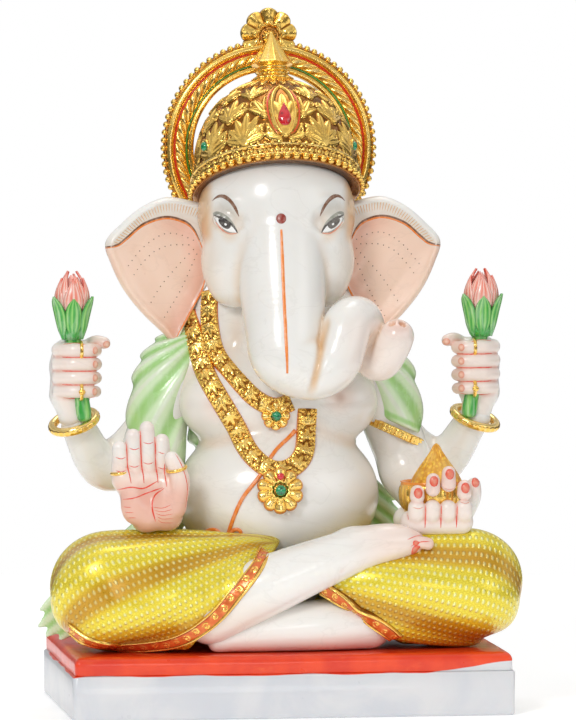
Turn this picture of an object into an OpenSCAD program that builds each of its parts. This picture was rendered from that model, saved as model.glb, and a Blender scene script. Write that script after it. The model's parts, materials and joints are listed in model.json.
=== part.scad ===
// Seated four-armed elephant-headed idol on a plinth, in painted and gilded white marble.
// Frame: +Z up, the idol faces -Y, origin at the middle of the plinth's underside.
// "right" and "left" are the idol's own sides, so its right hand is at -X.
// Organic forms are written at a nominal size in a seat frame, whose origin is
// the middle of the seat, and seated() brings them to the real size and place.

/* [Plinth] */
// Width of the plinth block
plinth_w = 190; // [150:1:240]
// Depth of the plinth block
plinth_d = 120; // [100:1:160]
// Height of the bare marble block
block_h = 19; // [12:1:40]
// Thickness of the painted seat slab
slab_h = 8; // [6:0.5:16]
// Set-back of the slab from each side of the block
slab_inset = 0.8; // [0:0.1:4]
// Rounding of the slab's upper edge
slab_round = 3.5; // [1:0.5:5]

/* [Figure] */
// Height of the idol, from the seat to the top of its crest
figure_h = 274; // [200:1:360]

/* [Jewellery] */
// Width of the long necklace's band
long_band_w = 9; // [6:0.5:12]
// Width of the short necklace's band
short_band_w = 8; // [5:0.5:11]
// Thickness of both necklace bands
band_t = 3; // [2:0.2:4]
// Radius of the bangles' rounded bar
bangle_bar_r = 1.9; // [1.2:0.1:2.6]
// Radius of the finger rings' bar
ring_bar_r = 0.8; // [0.5:0.1:1.1]

/* [Crown and halo] */
// Radius of the crown's band
crown_r = 37; // [34:0.5:40]
// Height of the crown's band
crown_band_h = 8; // [6:0.5:12]
// Backward tilt of the crown's dome, in degrees
crown_tilt = 14; // [8:1:18]
// Backward tilt of the crown's band, in degrees
band_tilt = 26; // [20:1:30]
// Number of beads round the crown's band
crown_beads_n = 34; // [20:1:44]
// Outer radius of the halo ring, without its teeth
halo_r = 46; // [43:0.5:50]
// Radial width of the halo ring
halo_w = 13; // [9:0.5:15]
// Thickness of the halo ring
halo_t = 6; // [4:0.5:9]
// Number of teeth round the halo ring
halo_teeth = 64; // [40:1:90]

/* [Ears] */
// Thickness of each ear
ear_t = 5; // [3.5:0.5:8]

/* [Dowels] */
// Radius of the steel dowels
dowel_r = 2; // [1.5:0.25:3]
// Gap round each dowel, filled with adhesive
dowel_gap = 0.1; // [0.05:0.05:0.3]
// Length of each dowel in either piece
dowel_reach = 9; // [6:1:12]

/* [Hidden] */

nominal_h = 274;
fig = figure_h / nominal_h;
seat_z = block_h + slab_h;
marble = "#efe9e2";
gold = "#d9a520";
yellow = "#e6c81e";
green = "#a6d884";
leaf_green = "#5cb84a";
smooth = 12;
fine = 8;

// ---------- helpers ----------
module seated() translate([0, 0, seat_z]) scale(fig) children();
module ball(p, r, n = 18) translate(p) scale(r) sphere(1, $fn = n);
module bead(p, n = smooth) translate([p[0], p[1], p[2]]) sphere(p[3], $fn = n);
module chain(p, n = smooth)
    for (i = [0 : len(p) - 2]) hull() { bead(p[i], n); bead(p[i + 1], n); }

// Catmull-Rom point between b and c, with the path's neighbours a and d.
function spline_point(a, b, c, d, t) =
    0.5 * (2 * b + (c - a) * t + (2 * a - 5 * b + 4 * c - d) * t * t + (3 * b - a - 3 * c + d) * t * t * t);
function smooth_path(p, k) = concat(
    [for (i = [0 : len(p) - 2], j = [0 : k - 1])
        spline_point(p[max(i - 1, 0)], p[i], p[i + 1], p[min(i + 2, len(p) - 1)], j / k)],
    [p[len(p) - 1]]);
function smooth_loop(p, k) = [for (i = [0 : len(p) - 1], j = [0 : k - 1])
    let (n = len(p)) spline_point(p[(i + n - 1) % n], p[i], p[(i + 1) % n], p[(i + 2) % n], j / k)];
module limb(p, k = 2, n = smooth) chain(smooth_path(p, k), n);
module mirrored(side) if (side < 0) mirror([1, 0, 0]) children(); else children();

// Front surface of an ellipsoid at (x, z), or far back where it isn't there.
function front_of(c, r, x, z) =
    let (q = 1 - pow((x - c[0]) / r[0], 2) - pow((z - c[2]) / r[2], 2)) q > 0 ? c[1] - r[1] * sqrt(q) : 99;

// ---------- plinth ----------
module plinth_block()
    color(marble) difference() {
        translate([-plinth_w / 2, -plinth_d / 2, 0]) cube([plinth_w, plinth_d, block_h]);
        seat_dowel_holes();
    }

module seat_slab()
    color("#e8491f") difference() {
        slab_w = plinth_w - 2 * slab_inset;
        slab_d = plinth_d - 2 * slab_inset;
        hull() {
            translate([-slab_w / 2, -slab_d / 2, block_h]) cube([slab_w, slab_d, slab_h - slab_round]);
            for (x = [-1, 1], y = [-1, 1])
                translate([x * (slab_w / 2 - slab_round), y * (slab_d / 2 - slab_round), seat_z - slab_round])
                    sphere(slab_round, $fn = 16);
        }
        seat_dowel_holes();
    }

// ---------- body ----------
hips = [[0, 7, 24], [50, 33, 29]];
belly = [[0, -4, 64], [44, 33, 33]];
chest = [[0, 1, 105], [41, 25, 25]];
breast = [[26, -9, 104], [17, 14, 15]];
function body_front(x, z) = min(
    front_of(belly[0], belly[1], x, z), front_of(chest[0], chest[1], x, z),
    front_of(breast[0], breast[1], abs(x), z), front_of(hips[0], hips[1], x, z));

module torso_form() {
    ball(belly[0], belly[1]);
    ball(chest[0], chest[1]);
    for (s = [-1, 1]) {
        ball([s * breast[0][0], breast[0][1], breast[0][2]], breast[1]);
        chain([[0, 3, 120, 15], [s * 22, 5, 120, 14.5], [s * 42, 6, 117, 13]]);
        chain([[s * 42, 6, 117, 13], [s * 40, 8, 108, 12]]);
    }
    chain([[0, 3, 112, 21], [0, 3, 128, 21], [0, 2, 142, 20]]);
}
module below_seat() translate([-150, -100, -60]) cube([300, 200, 60]);

module torso()
    color(marble) seated() difference() {
        torso_form();
        below_seat();
        head_form();
        neck_dowel_hole();
        arm_dowel_holes();
    }

// ---------- head, trunk and ears ----------
trunk_path = [
    [1, -14, 186, 22], [1, -21, 169, 20], [1.5, -27, 153, 18.5], [2, -32, 138, 17], [3, -37, 126, 15.5],
    [13, -41, 120.5, 13.5], [22, -41.5, 123.5, 12.5], [26.5, -40, 132, 12], [30, -37, 140, 11.5],
    [35, -30, 141, 10.2], [38, -26, 132, 9], [40, -27, 124, 8.2], [44, -30, 123, 8], [48, -33, 130, 8],
    [50, -34, 134, 7.5],
];
module skull_form() {
    ball([0, -3, 184], [34, 29, 31], skull_n);
    ball([0, 2, 168], [31, 25, 26], skull_n);
}
module head_form() {
    skull_form();
    for (s = [-1, 1]) chain([[s * 15, -12, 190, 15], [s * 14, -15, 178, 16], [s * 19, -15, 166, 14], [s * 18, -14, 156, 12]]);
    chain([[0, -16, 190, 14], [0, -10, 160, 17], [0, -2, 152, 17], [0, 0, 146, 17]]);
}
module head()
    color(marble) seated() difference() {
        head_form();
        above_crown_rim();
        neck_dowel_hole();
        halo_dowel_holes();
    }
module trunk()
    color(marble) seated() difference() {
        limb(trunk_path, 2);
        head_form();
        torso_form();
        above_crown_rim();
    }

// The ear's outline in its own plane: x outwards from the head, y up.
ear_outline = [
    [-3, 190], [3, 199], [13, 202.5], [23, 203.5], [33, 199.5], [42, 192.5], [49, 184.5], [46.5, 175],
    [41, 164], [33, 154], [24, 145.5], [18.5, 140.5], [14, 148], [8, 159], [2, 168], [-3, 178],
];
skull_n = 20;
ear_root = 26;
ear_turn = 8;
module ear_form()
    translate([ear_root, 3, -11]) rotate([0, 0, -ear_turn]) rotate([90, 0, 0])
        linear_extrude(ear_t, center = true) polygon(smooth_loop(ear_outline, 3));
module ear(side)
    color("#f6dccb") seated() difference() {
        mirrored(side) ear_form();
        head_form();
        torso_form();
        shawl_shoulder(side);
        crown_band_form();
    }
module right_ear() ear(-1);
module left_ear() ear(1);

// ---------- legs ----------
module dhoti_leg_form(side)
    mirrored(side) limb(side < 0
        ? [[-2, -28, 41, 9], [22, -33, 34, 18], [50, -34, 27, 25], [77, -34, 26, 26]]
        : [[14, -30, 24, 17], [32, -34, 25, 22], [52, -34, 26, 25], [77, -34, 26, 26]], 2, 18);
// The thigh goes back from the knee to the hip.
module thigh_form(side) mirrored(side) chain([[70, -24, 25, 25], [44, 4, 26, 24]], 18);

module dhoti_waist()
    color(yellow) seated() difference() {
        ball(hips[0], hips[1]);
        below_seat();
        torso_form();
        dhoti_leg_form(-1);
        thigh_form(-1);
        dhoti_leg_form(1);
        thigh_form(1);
        seat_dowel_holes_in_figure();
    }
module dhoti_leg(side)
    color(yellow) seated() difference() {
        union() { dhoti_leg_form(side); thigh_form(side); }
        below_seat();
        torso_form();
        if (side < 0) dhoti_leg_form(1);
        if (side > 0) crossing_shin_form();
    }
module dhoti_right_leg() dhoti_leg(-1);
module dhoti_left_leg() dhoti_leg(1);

hem_w = 2.6;
right_hem_path = [
    [0, -38, 40, hem_w], [-10, -49, 27, hem_w], [-24, -55, 16, hem_w], [-42, -57.5, 8, hem_w],
    [-62, -57, 4.6, hem_w], [-84, -51, 4.6, hem_w], [-95, -42, 9, hem_w],
];
left_hem_path = [
    [9, -46, 27, hem_w], [17, -53, 19, hem_w], [27, -56, 11, hem_w], [36, -54, 4.6, hem_w],
];
module dhoti_right_hem()
    color(gold) seated() difference() {
        limb(right_hem_path, 2, fine);
        below_seat();
        dhoti_leg_form(-1);
        thigh_form(-1);
        torso_form();
        dhoti_leg_form(1);
    }
module dhoti_left_hem()
    color(gold) seated() difference() {
        limb(left_hem_path, 2, fine);
        below_seat();
        dhoti_leg_form(1);
        dhoti_leg_form(-1);
        limb(right_hem_path, 2, fine);
        crossing_shin_form();
    }

// The right shin crosses over, and its foot lies on the left thigh.
module crossing_shin_form()
    limb([[-34, -44, 17, 14], [-12, -48, 28, 13.5], [12, -50, 38, 11.5], [33, -49, 45, 9.5],
        [47, -47, 47, 8.5], [57, -45, 46, 5]], 2);
module right_shin_and_foot()
    color(marble) seated() difference() {
        crossing_shin_form();
        below_seat();
        torso_form();
        dhoti_leg_form(-1);
        limb(right_hem_path, 2, fine);
    }
module left_shin_and_foot()
    color(marble) seated() difference() {
        limb([[34, -38, 11.5, 12], [14, -42, 11, 11.5], [-8, -43, 9.5, 10], [-24, -44, 7, 7], [-31, -45, 5, 5]], 2);
        below_seat();
        torso_form();
        dhoti_leg_form(-1);
        dhoti_leg_form(1);
        limb(right_hem_path, 2, fine);
        limb(left_hem_path, 2, fine);
        crossing_shin_form();
    }

// ---------- arms and hands ----------
wrist_r = 7;
bangle_clear = 1;
rear_shoulder = [36, 17, 112];
rear_elbow = [70, 14, 76];
rear_wrist = [87.5, 2, 96];
fist = [87, -1, 118];
front_shoulder = [44, 4, 112];
front_elbow = [58, 2, 74];
blessing_wrist = [56, -27, 61];
blessing_wrist_r = 8.5;
offering_wrist = [60, -22, 60];

module rear_arm_form(side) mirrored(side)
    limb([concat(rear_shoulder, 11), concat(rear_elbow, 10), concat(rear_wrist, wrist_r)], 2);
module rear_arm(side)
    color(marble) seated() difference() {
        rear_arm_form(side);
        torso_form();
        arm_dowel_holes();
        front_arm_form(side);
    }
module rear_right_arm() rear_arm(-1);
module rear_left_arm() rear_arm(1);

// A closed hand round a stem, its four fingers lying level one above the other.
finger_pitch = 6;
module fist_form(side) mirrored(side) translate(fist) {
    hull() {
        bead([5, 3, -11, 6.5]);
        bead([4, 3, 8, 6]);
        bead([-2, 2, 8, 5.5]);
        bead([-1, 3, -10, 6]);
    }
    for (i = [0 : 3]) let (z = 9.5 - i * finger_pitch)
        chain([[7.5, -2, z, 3.2], [2, -6.5, z, 3.2], [-5, -6.5, z, 3.1], [-8, -3, z, 2.9]], fine);
    chain([[0, 5, 6, 3.4], [-8, 2, 12, 3], [-13, -1, 12, 2.4]], fine);
    hull() { bead([3, 2, -12, 6.6]); bead([1, 3, -19, wrist_r - 0.3]); }
}
module rear_hand(side)
    color(marble) seated() difference() {
        fist_form(side);
        rear_arm_form(side);
        lotus_stem_form(side);
    }
module rear_right_hand() rear_hand(-1);
module rear_left_hand() rear_hand(1);

module front_arm_form(side, grow = 0) mirrored(side)
    limb([concat(front_shoulder, 13 + grow), concat(front_elbow, 11.5 + grow),
        concat(side < 0 ? blessing_wrist : offering_wrist, (side < 0 ? blessing_wrist_r : wrist_r) + grow)], 2);
module front_arm(side)
    color(marble) seated() difference() {
        front_arm_form(side);
        below_seat();
        torso_form();
        dhoti_leg_form(side);
        thigh_form(side);
        arm_dowel_holes();
        if (side > 0) cup_form();
    }
module front_right_arm() front_arm(-1);
module front_left_arm() front_arm(1);

// The raised open hand, palm to the front.
blessing_at = [-61, -35, 54];
module blessing_hand_form() translate(blessing_at) {
    hull() {
        bead([1, 1, 4, 6]);
        bead([10, 1, 4, 6]);
        bead([-9.5, 0, 20, 4.5]);
        bead([10.5, -1, 18, 5.5]);
    }
    for (f = [[-11, 34.5], [-5.2, 40], [0.8, 43.5], [7.2, 37.5]])
        chain([[f[0] * 0.9 + 1.5, 0, 17, 4], [f[0], -0.6, (17 + f[1]) / 2, 3.7], [f[0] - 0.4, -1.6, f[1], 3.2]], fine);
    chain([[13, -3, 9, 5], [14, -6, 19, 4.4], [10.5, -7.5, 29, 3.8]], fine);
}
module blessing_hand()
    color(marble) seated() difference() {
        blessing_hand_form();
        front_arm_form(-1);
        dhoti_leg_form(-1);
        thigh_form(-1);
    }

// The cupped hand that holds the sweet: four fingers rise in front of the cup.
cup_centre = [63, -32, 66];
cup_r = 14;
module offering_hand_form() {
    hull() for (a = [0 : 1], y = [-42, -24]) bead([53 + a * 21, y, 54.5, 5.5]);
    for (i = [0 : 3]) let (x = 54 + i * 6.8)
        chain([[x, -41, 55, 3.9], [x + 0.2, -46.5, 61, 3.7], [x + 0.4, -47, [68, 73, 76, 70][i], 3]], fine);
    chain([[75, -34, 55, 4.6], [80, -35, 64, 3.8], [80.5, -37, 71, 3]], fine);
}
module offering_hand()
    color(marble) seated() difference() {
        offering_hand_form();
        front_arm_form(1);
        dhoti_leg_form(1);
        thigh_form(1);
        crossing_shin_form();
        cup_form();
        modak_form();
    }

module cup_form() translate([cup_centre[0], cup_centre[1], cup_centre[2]])
    difference() { sphere(cup_r, $fn = 20); translate([-20, -20, 5]) cube([40, 40, 20]); }
module modak_form() translate([cup_centre[0] + 2, cup_centre[1], cup_centre[2]]) hull() {
    translate([0, 0, 2]) sphere(cup_r - 2, $fn = 20);
    translate([0, 0, 20]) sphere(1.6, $fn = 8);
}
module modak_cup()
    color(gold) seated() difference() {
        cup_form();
        modak_form();
        dhoti_leg_form(1);
        thigh_form(1);
    }
module modak() color("#f0b42a") seated() modak_form();

// ---------- lotus buds ----------
lotus_x = fist[0] + 1;
stem_r = 3.2;
bud_z = fist[2] + 15;
module lotus_stem_form(side) mirrored(side)
    translate([lotus_x - 5, -3, 0]) rotate([1, 2, 0]) translate([0, 0, fist[2] - 20]) {
        cylinder(h = 36, r = stem_r, $fn = 12);
        translate([0, 0, 1]) sphere(stem_r, $fn = 12);
    }
module lotus_stem(side)
    color(leaf_green) seated() {
        difference() { lotus_stem_form(side); sepal_form(side); rear_arm_form(side); }
    }
module lotus_right_stem() lotus_stem(-1);
module lotus_left_stem() lotus_stem(1);
module bud_place(side) mirrored(side) translate([lotus_x + 1, -4, bud_z]) children();
module sepal_form(side) bud_place(side) {
    difference() {
        rotate_extrude($fn = 48) polygon([[0, -1], [4.5, -1], [6, 4], [8.4, 12], [10, 17], [7.6, 15], [5.5, 11], [0, 3]]);
        for (a = [0 : 60 : 300]) rotate([0, 0, a]) translate([0, 0, 21]) rotate([90, 0, 0]) cylinder(h = 14, r = 6, $fn = 32);
    }
}
module petal_form(side) bud_place(side)
    rotate_extrude($fn = 48) polygon([[0, 3], [5.4, 11], [7.5, 15], [7.2, 18], [5, 22], [2.4, 26], [0.6, 28], [0, 28]]);
module lotus_petals(side) color("#ee8a70") seated() difference() { petal_form(side); sepal_form(side); }
module lotus_right_petals() lotus_petals(-1);
module lotus_left_petals() lotus_petals(1);
module lotus_sepals(side) color(leaf_green) seated() sepal_form(side);
module lotus_right_sepals() lotus_sepals(-1);
module lotus_left_sepals() lotus_sepals(1);

// ---------- shawl ----------
module shawl_shoulder(side) mirrored(side)
    limb([[35, 5, 128, 10], [46, 5, 118, 14.8], [53, 3, 98, 14.6], [53, 1, 82, 12.6]], 3);
// The shawl's lower edge: a slant over the armlet, and level on the other side.
shawl_hem_z = 94;
shawl_hem_tilt = 24;
module shawl_end_cut(side)
    if (side > 0) translate([52.5, 0, shawl_hem_z]) rotate([0, shawl_hem_tilt, 0]) translate([-30, -40, -40]) cube([60, 80, 40]);
    else translate([-90, -40, 60]) cube([60, 80, 14]);
module shawl_shoulder_cut(side) difference() { shawl_shoulder(side); shawl_end_cut(side); }
module shawl_side(side)
    color(green) seated() difference() {
        shawl_shoulder(side);
        torso_form();
        head_form();
        front_arm_form(side);
        rear_arm_form(side);
        shawl_end_cut(side);
    }
module shawl_right() shawl_side(-1);
module shawl_left() shawl_side(1);
// The shawl's middle lies across the upper back.
module shawl_back_form() hull() { ball([0, 8, 112], [42, 24, 20]); ball([0, 12, 72], [34, 22, 14]); }
module shawl_back()
    color(green) seated() difference() {
        shawl_back_form();
        translate([-80, -60, 0]) cube([160, 64, 200]);
        translate([-80, -60, 0]) cube([160, 160, 62]);
        torso_form();
        head_form();
        for (s = [-1, 1]) { shawl_shoulder(s); front_arm_form(s); rear_arm_form(s); }
    }
module shawl_tail(side)
    color(green) seated() difference() {
        mirrored(side) translate([0, 20, 0]) scale([1, 0.6, 1])
            limb([[36, 6, 66, 9], [56, 8, 42, 11], [80, 2, 20, 13], [96, -10, 9, 10.5]], 2);
        below_seat();
        shawl_back_form();
        torso_form();
        thigh_form(side);
        dhoti_leg_form(side);
        rear_arm_form(side);
        front_arm_form(side);
    }
module shawl_tail_right() shawl_tail(-1);
module shawl_tail_left() shawl_tail(1);

// ---------- bangles and rings ----------
module hoop(r, bar, n = 48) rotate_extrude($fn = n) translate([r, 0]) circle(bar, $fn = 24);
module bangle_form(side) mirrored(side) translate(rear_wrist) rotate([18, 18, 0])
    hoop(wrist_r + bangle_clear + bangle_bar_r, bangle_bar_r);
module bangle(side) color(gold) seated() bangle_form(side);
module bangle_rear_right() bangle(-1);
module bangle_rear_left() bangle(1);
module bangle_front_right()
    color(gold) seated() translate([-56.3, -22.4, 63.1]) rotate([114, 0, 0])
        hoop(blessing_wrist_r + 1.6 * bangle_clear + bangle_bar_r, bangle_bar_r);
// The armlet is a tilted slice of a slightly thicker arm.
armlet_t = 1.7;
armlet_h = 3.4;
module armlet_left()
    color(gold) seated() difference() {
        intersection() {
            front_arm_form(1, armlet_t);
            translate([52.5, 0, shawl_hem_z - armlet_h]) rotate([0, shawl_hem_tilt, 0]) cube([60, 60, armlet_h], center = true);
        }
        front_arm_form(1);
        torso_form();
        rear_arm_form(1);
        shawl_shoulder_cut(1);
        translate([-10, -20, 60]) cube([51, 60, 60]);
        shawl_back_form();
    }

// Each ring is carved as the open part of a hoop, between its neighbour fingers.
module ring_arc(p, turn, finger_r, from, angle) translate(p) rotate(turn) rotate([0, 0, from])
    rotate_extrude(angle = angle, $fn = 48) translate([finger_r + ring_bar_r, 0]) circle(ring_bar_r, $fn = 16);
module finger_rings()
    color(gold) seated() {
        for (s = [-1, 1], z = [9.5, 9.5 - 3 * finger_pitch]) mirrored(s)
            ring_arc(fist + [-1.5, -6.5, z], [0, 90, 0], 3.15, -135, 90);
        ring_arc(blessing_at + [-9.9, -0.4, 22.5], [0, -14, 0], 3.85, 150, 150);
        ring_arc(blessing_at + [11.6, -7.1, 26], [8, -18, 0], 3.95, 200, 180);
    }

// ---------- necklaces, pendants and thread ----------
function on_body(p) = [for (q = p) [q[0], body_front(q[0], q[1]), q[1]]];
module band(p, w) {
    q = on_body(p);
    for (i = [0 : len(q) - 2]) hull() {
        ball(q[i], [w / 2, band_t, w / 2], fine);
        ball(q[i + 1], [w / 2, band_t, w / 2], fine);
    }
}
long_line = [
    [-31, 121], [-28, 112], [-22, 101], [-16, 91], [-12, 82], [-6, 76], [0, 74], [7, 76],
    [12, 82], [13.5, 91], [14, 100],
];
short_line = [[-24, 124], [-21, 119], [-15, 111], [-8, 104], [0, 100.5], [7, 103]];
module long_form() band(smooth_path(long_line, 1), long_band_w);
module short_form() band(smooth_path(short_line, 2), short_band_w);
module necklace_long()
    color(gold) seated() difference() { long_form(); torso_form(); short_form(); shawl_shoulder(-1); limb(trunk_path, 2); }
module necklace_short()
    color(gold) seated() difference() { short_form(); torso_form(); head_form(); shawl_shoulder(-1); limb(trunk_path, 2); stones_form(); }

pendant_r = 10.5;
small_pendant_r = 6.5;
pendant_long_at = [0, body_front(0, 69) - 1, 66];
pendant_short_at = [0, body_front(0, 97) - 2, 97];
module pendant_long_form() translate(pendant_long_at) rotate([78, 0, 0]) cylinder(h = 5, r = pendant_r, center = true, $fn = 28);
module pendant_short_form() translate(pendant_short_at) rotate([90, 0, 0])
    cylinder(h = 5, r = small_pendant_r, center = true, $fn = 24);
module pendant_long()
    color(gold) seated() difference() { pendant_long_form(); torso_form(); long_form(); stones_form(); }
module pendant_short()
    color(gold) seated() difference() { pendant_short_form(); torso_form(); short_form(); limb(trunk_path, 2); stones_form(); }

thread_line = [[5, 93], [2, 90], [-5, 84], [-12, 74], [-19, 65], [-23, 55], [-25, 46]];
module sacred_thread()
    color("#f08a1c") seated() difference() {
        chain([for (q = on_body(smooth_path(thread_line, 2))) [q[0], q[1], q[2], 1.1]], fine);
        torso_form();
        long_form();
        short_form();
        pendant_long_form();
        pendant_short_form();
        dhoti_leg_form(-1);
        dhoti_leg_form(1);
        limb(right_hem_path, 2, fine);
    }

// ---------- stones ----------
stone_r = 2.2;
module stone(p, r = stone_r) translate(p) sphere(r, $fn = 16);
module green_stone_places() {
    stone(pendant_long_at + [0, -2.6, 0.5], 2.6);
    stone(pendant_short_at + [0, -2.4, 0.5]);
    crown_place() for (a = [-160, -20]) rotate([0, 0, a]) translate([dome_r(16), 0, 16]) sphere(stone_r, $fn = 24);
}
module red_stone_places() {
    stone(pendant_long_at + [0, -2.0, 6.4], 1.7);
    crown_place() rotate([0, 0, -90]) translate([dome_r(21), 0, 21]) sphere(stone_r + 1.3, $fn = 24);
}
module stones_form() { green_stone_places(); red_stone_places(); }
module green_stones() color("#0d7a4b") seated() green_stone_places();
module red_stones() color("#c8102e") seated() difference() { red_stone_places(); green_stone_places(); }

// ---------- crown ----------
crown_at = [0, -2, 194];
dome_h = 50;
finial_h = 22;
module crown_place() translate(crown_at) rotate([-crown_tilt, 0, 0]) children();
module band_place() translate(crown_at) rotate([-band_tilt, 0, 0]) children();
function dome_r(h) = let (q = pow((h - crown_band_h) / (dome_h - crown_band_h), 1 / 0.9)) (crown_r - 2) * sqrt(1 - q * q);
module crown_band_form() band_place() cylinder(h = crown_band_h, r = crown_r, $fn = 96);
module crown_dome_form() difference() {
    crown_place() rotate_extrude($fn = 96) polygon(concat(
        [[0, -10], [crown_r - 2, -10], [crown_r - 2, crown_band_h]],
        [for (a = [10 : 10 : 80]) [(crown_r - 2) * cos(a), crown_band_h + (dome_h - crown_band_h) * pow(sin(a), 0.9)]],
        [[5, dome_h], [0, dome_h]]));
    band_place() translate([0, 0, crown_band_h - 60]) cylinder(h = 60, r = 60, $fn = 96);
}
module above_crown_rim() band_place() cylinder(h = 60, r = 60, $fn = 24);
module crown_solid() { crown_band_form(); crown_dome_form(); }
module crown_band() color(gold) seated() difference() { crown_band_form(); crown_bead_places(); }
module crown_dome()
    color(gold) seated() difference() {
        crown_dome_form();
        stones_form();
    }
module crown_finial() color(gold) seated() crown_place() rotate_extrude($fn = 48)
    polygon([[0, dome_h], [8.5, dome_h], [8.5, dome_h + 2], [5, dome_h + 4.5], [2.6, dome_h + 9],
        [1.2, dome_h + 14], [0.5, dome_h + finial_h], [0, dome_h + finial_h]]);
crown_bead_r = 1.5;
// The row is broken where the halo passes.
module crown_bead_places() band_place() for (i = [0 : crown_beads_n - 1])
    let (a = i * 360 / crown_beads_n, y = crown_at[1] + crown_r * cos(band_tilt) * sin(a) - halo_at[1])
        if (y < -crown_bead_r - 0.5 || y > halo_t + crown_bead_r + 0.5)
            rotate([0, 0, a]) translate([crown_r, 0, crown_bead_r + 0.4]) sphere(crown_bead_r, $fn = 24);
module crown_bead_row() color(gold) seated() crown_bead_places();

// ---------- halo ----------
halo_at = [0, 20, 213];
tooth_h = 1.4;
// The ring passes behind the head and is let into its back.
module halo_outline() {
    difference() {
        union() {
            circle(halo_r, $fn = 128);
            for (i = [0 : halo_teeth - 1]) rotate(i * 360 / halo_teeth) translate([halo_r, 0]) circle(tooth_h, $fn = 16);
        }
        circle(halo_r - halo_w, $fn = 128);
    }
}
module halo_place() translate(halo_at) rotate([90, 0, 0]) translate([0, 0, -halo_t]) children();
module halo_ring()
    color(gold) seated() difference() {
        halo_place() linear_extrude(halo_t) halo_outline();
        crown_solid();
        skull_form();
        halo_dowel_holes();
    }
crest_r = 12.5;
crest_petals = 9;
module halo_crest()
    color(gold) seated() difference() {
        halo_place() translate([0, halo_r + 2.4, 0]) linear_extrude(halo_t) union() {
            circle(crest_r - 2, $fn = 48);
            for (i = [0 : crest_petals - 1]) rotate(90 + (i - (crest_petals - 1) / 2) * 24)
                translate([crest_r - 2, 0]) circle(2, $fn = 24);
        }
        halo_place() translate([0, 0, -1]) linear_extrude(halo_t + 2) circle(halo_r + tooth_h, $fn = 128);
    }

// ---------- dowels ----------
module dowel(p, turn, gap = 0) translate(p) rotate(turn)
    translate([0, 0, -dowel_reach / fig]) cylinder(h = 2 * dowel_reach / fig, r = (dowel_r + gap) / fig, $fn = 32);
function toward(a, b) = let (d = b - a) [0, acos(d[2] / norm(d)), atan2(d[1], d[0])];
module arm_dowel_set(gap = 0) for (s = [-1, 1]) mirrored(s) {
    dowel([46, 14, 106], [0, 118, -5], gap);
    dowel([47, 3, 100], [0, 100, 0], gap);
}
module arm_dowel_holes() arm_dowel_set(dowel_gap);
module arm_dowels() color("silver") seated() arm_dowel_set();
neck_dowel_at = [0, 2, 129];
module neck_dowel() color("silver") seated() dowel(neck_dowel_at, [0, 0, 0]);
module neck_dowel_hole() dowel(neck_dowel_at, [0, 0, 0], dowel_gap);
module halo_dowel_set(gap = 0) for (x = [-1, 1]) dowel([x * 10, 16, 174.5], [90, 0, 0], gap);
module halo_dowel_holes() halo_dowel_set(dowel_gap);
module halo_dowels() color("silver") seated() halo_dowel_set();

seat_dowel_x = 24;
module seat_dowel_at(gap) for (x = [-1, 1]) translate([x * seat_dowel_x, 6, seat_z - slab_h - dowel_reach])
    cylinder(h = slab_h + 2 * dowel_reach, r = dowel_r + gap, $fn = 32);
module seat_dowel_holes() seat_dowel_at(dowel_gap);
module seat_dowel_holes_in_figure() for (x = [-1, 1])
    translate([x * seat_dowel_x / fig, 6 / fig, -1]) cylinder(h = 1 + dowel_reach / fig, r = (dowel_r + dowel_gap) / fig, $fn = 32);
module seat_dowels() color("silver") seat_dowel_at(0);

plinth_block();
seat_slab();
torso();
head();
trunk();
right_ear();
left_ear();
dhoti_waist();
dhoti_right_leg();
dhoti_left_leg();
dhoti_right_hem();
dhoti_left_hem();
right_shin_and_foot();
left_shin_and_foot();
rear_right_arm();
rear_left_arm();
rear_right_hand();
rear_left_hand();
front_right_arm();
front_left_arm();
blessing_hand();
offering_hand();
shawl_right();
shawl_left();
shawl_back();
shawl_tail_right();
shawl_tail_left();
modak();
modak_cup();
lotus_right_petals();
lotus_left_petals();
lotus_right_sepals();
lotus_left_sepals();
lotus_right_stem();
lotus_left_stem();
bangle_rear_right();
bangle_rear_left();
bangle_front_right();
armlet_left();
finger_rings();
necklace_short();
necklace_long();
pendant_short();
pendant_long();
sacred_thread();
crown_band();
crown_dome();
crown_finial();
crown_bead_row();
halo_ring();
halo_crest();
green_stones();
red_stones();
arm_dowels();
neck_dowel();
halo_dowels();
seat_dowels();
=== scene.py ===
"""A painted marble Ganesha idol for a home altar, seated on a plinth.

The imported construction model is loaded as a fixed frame. Every visible piece is then sculpted in code at the place its
node holds, given a procedural finish and tied to the frame. Lengths are in millimetres on the seat (z = 0 is the top of
the plinth's slab) until a mesh is written, when they become metres in the row frame.
"""

import json
import logging
import math
from collections.abc import Callable, Sequence
from dataclasses import dataclass, field
from enum import Enum

import bpy
import numpy as np
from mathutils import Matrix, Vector
from mathutils.bvhtree import BVHTree

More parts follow.
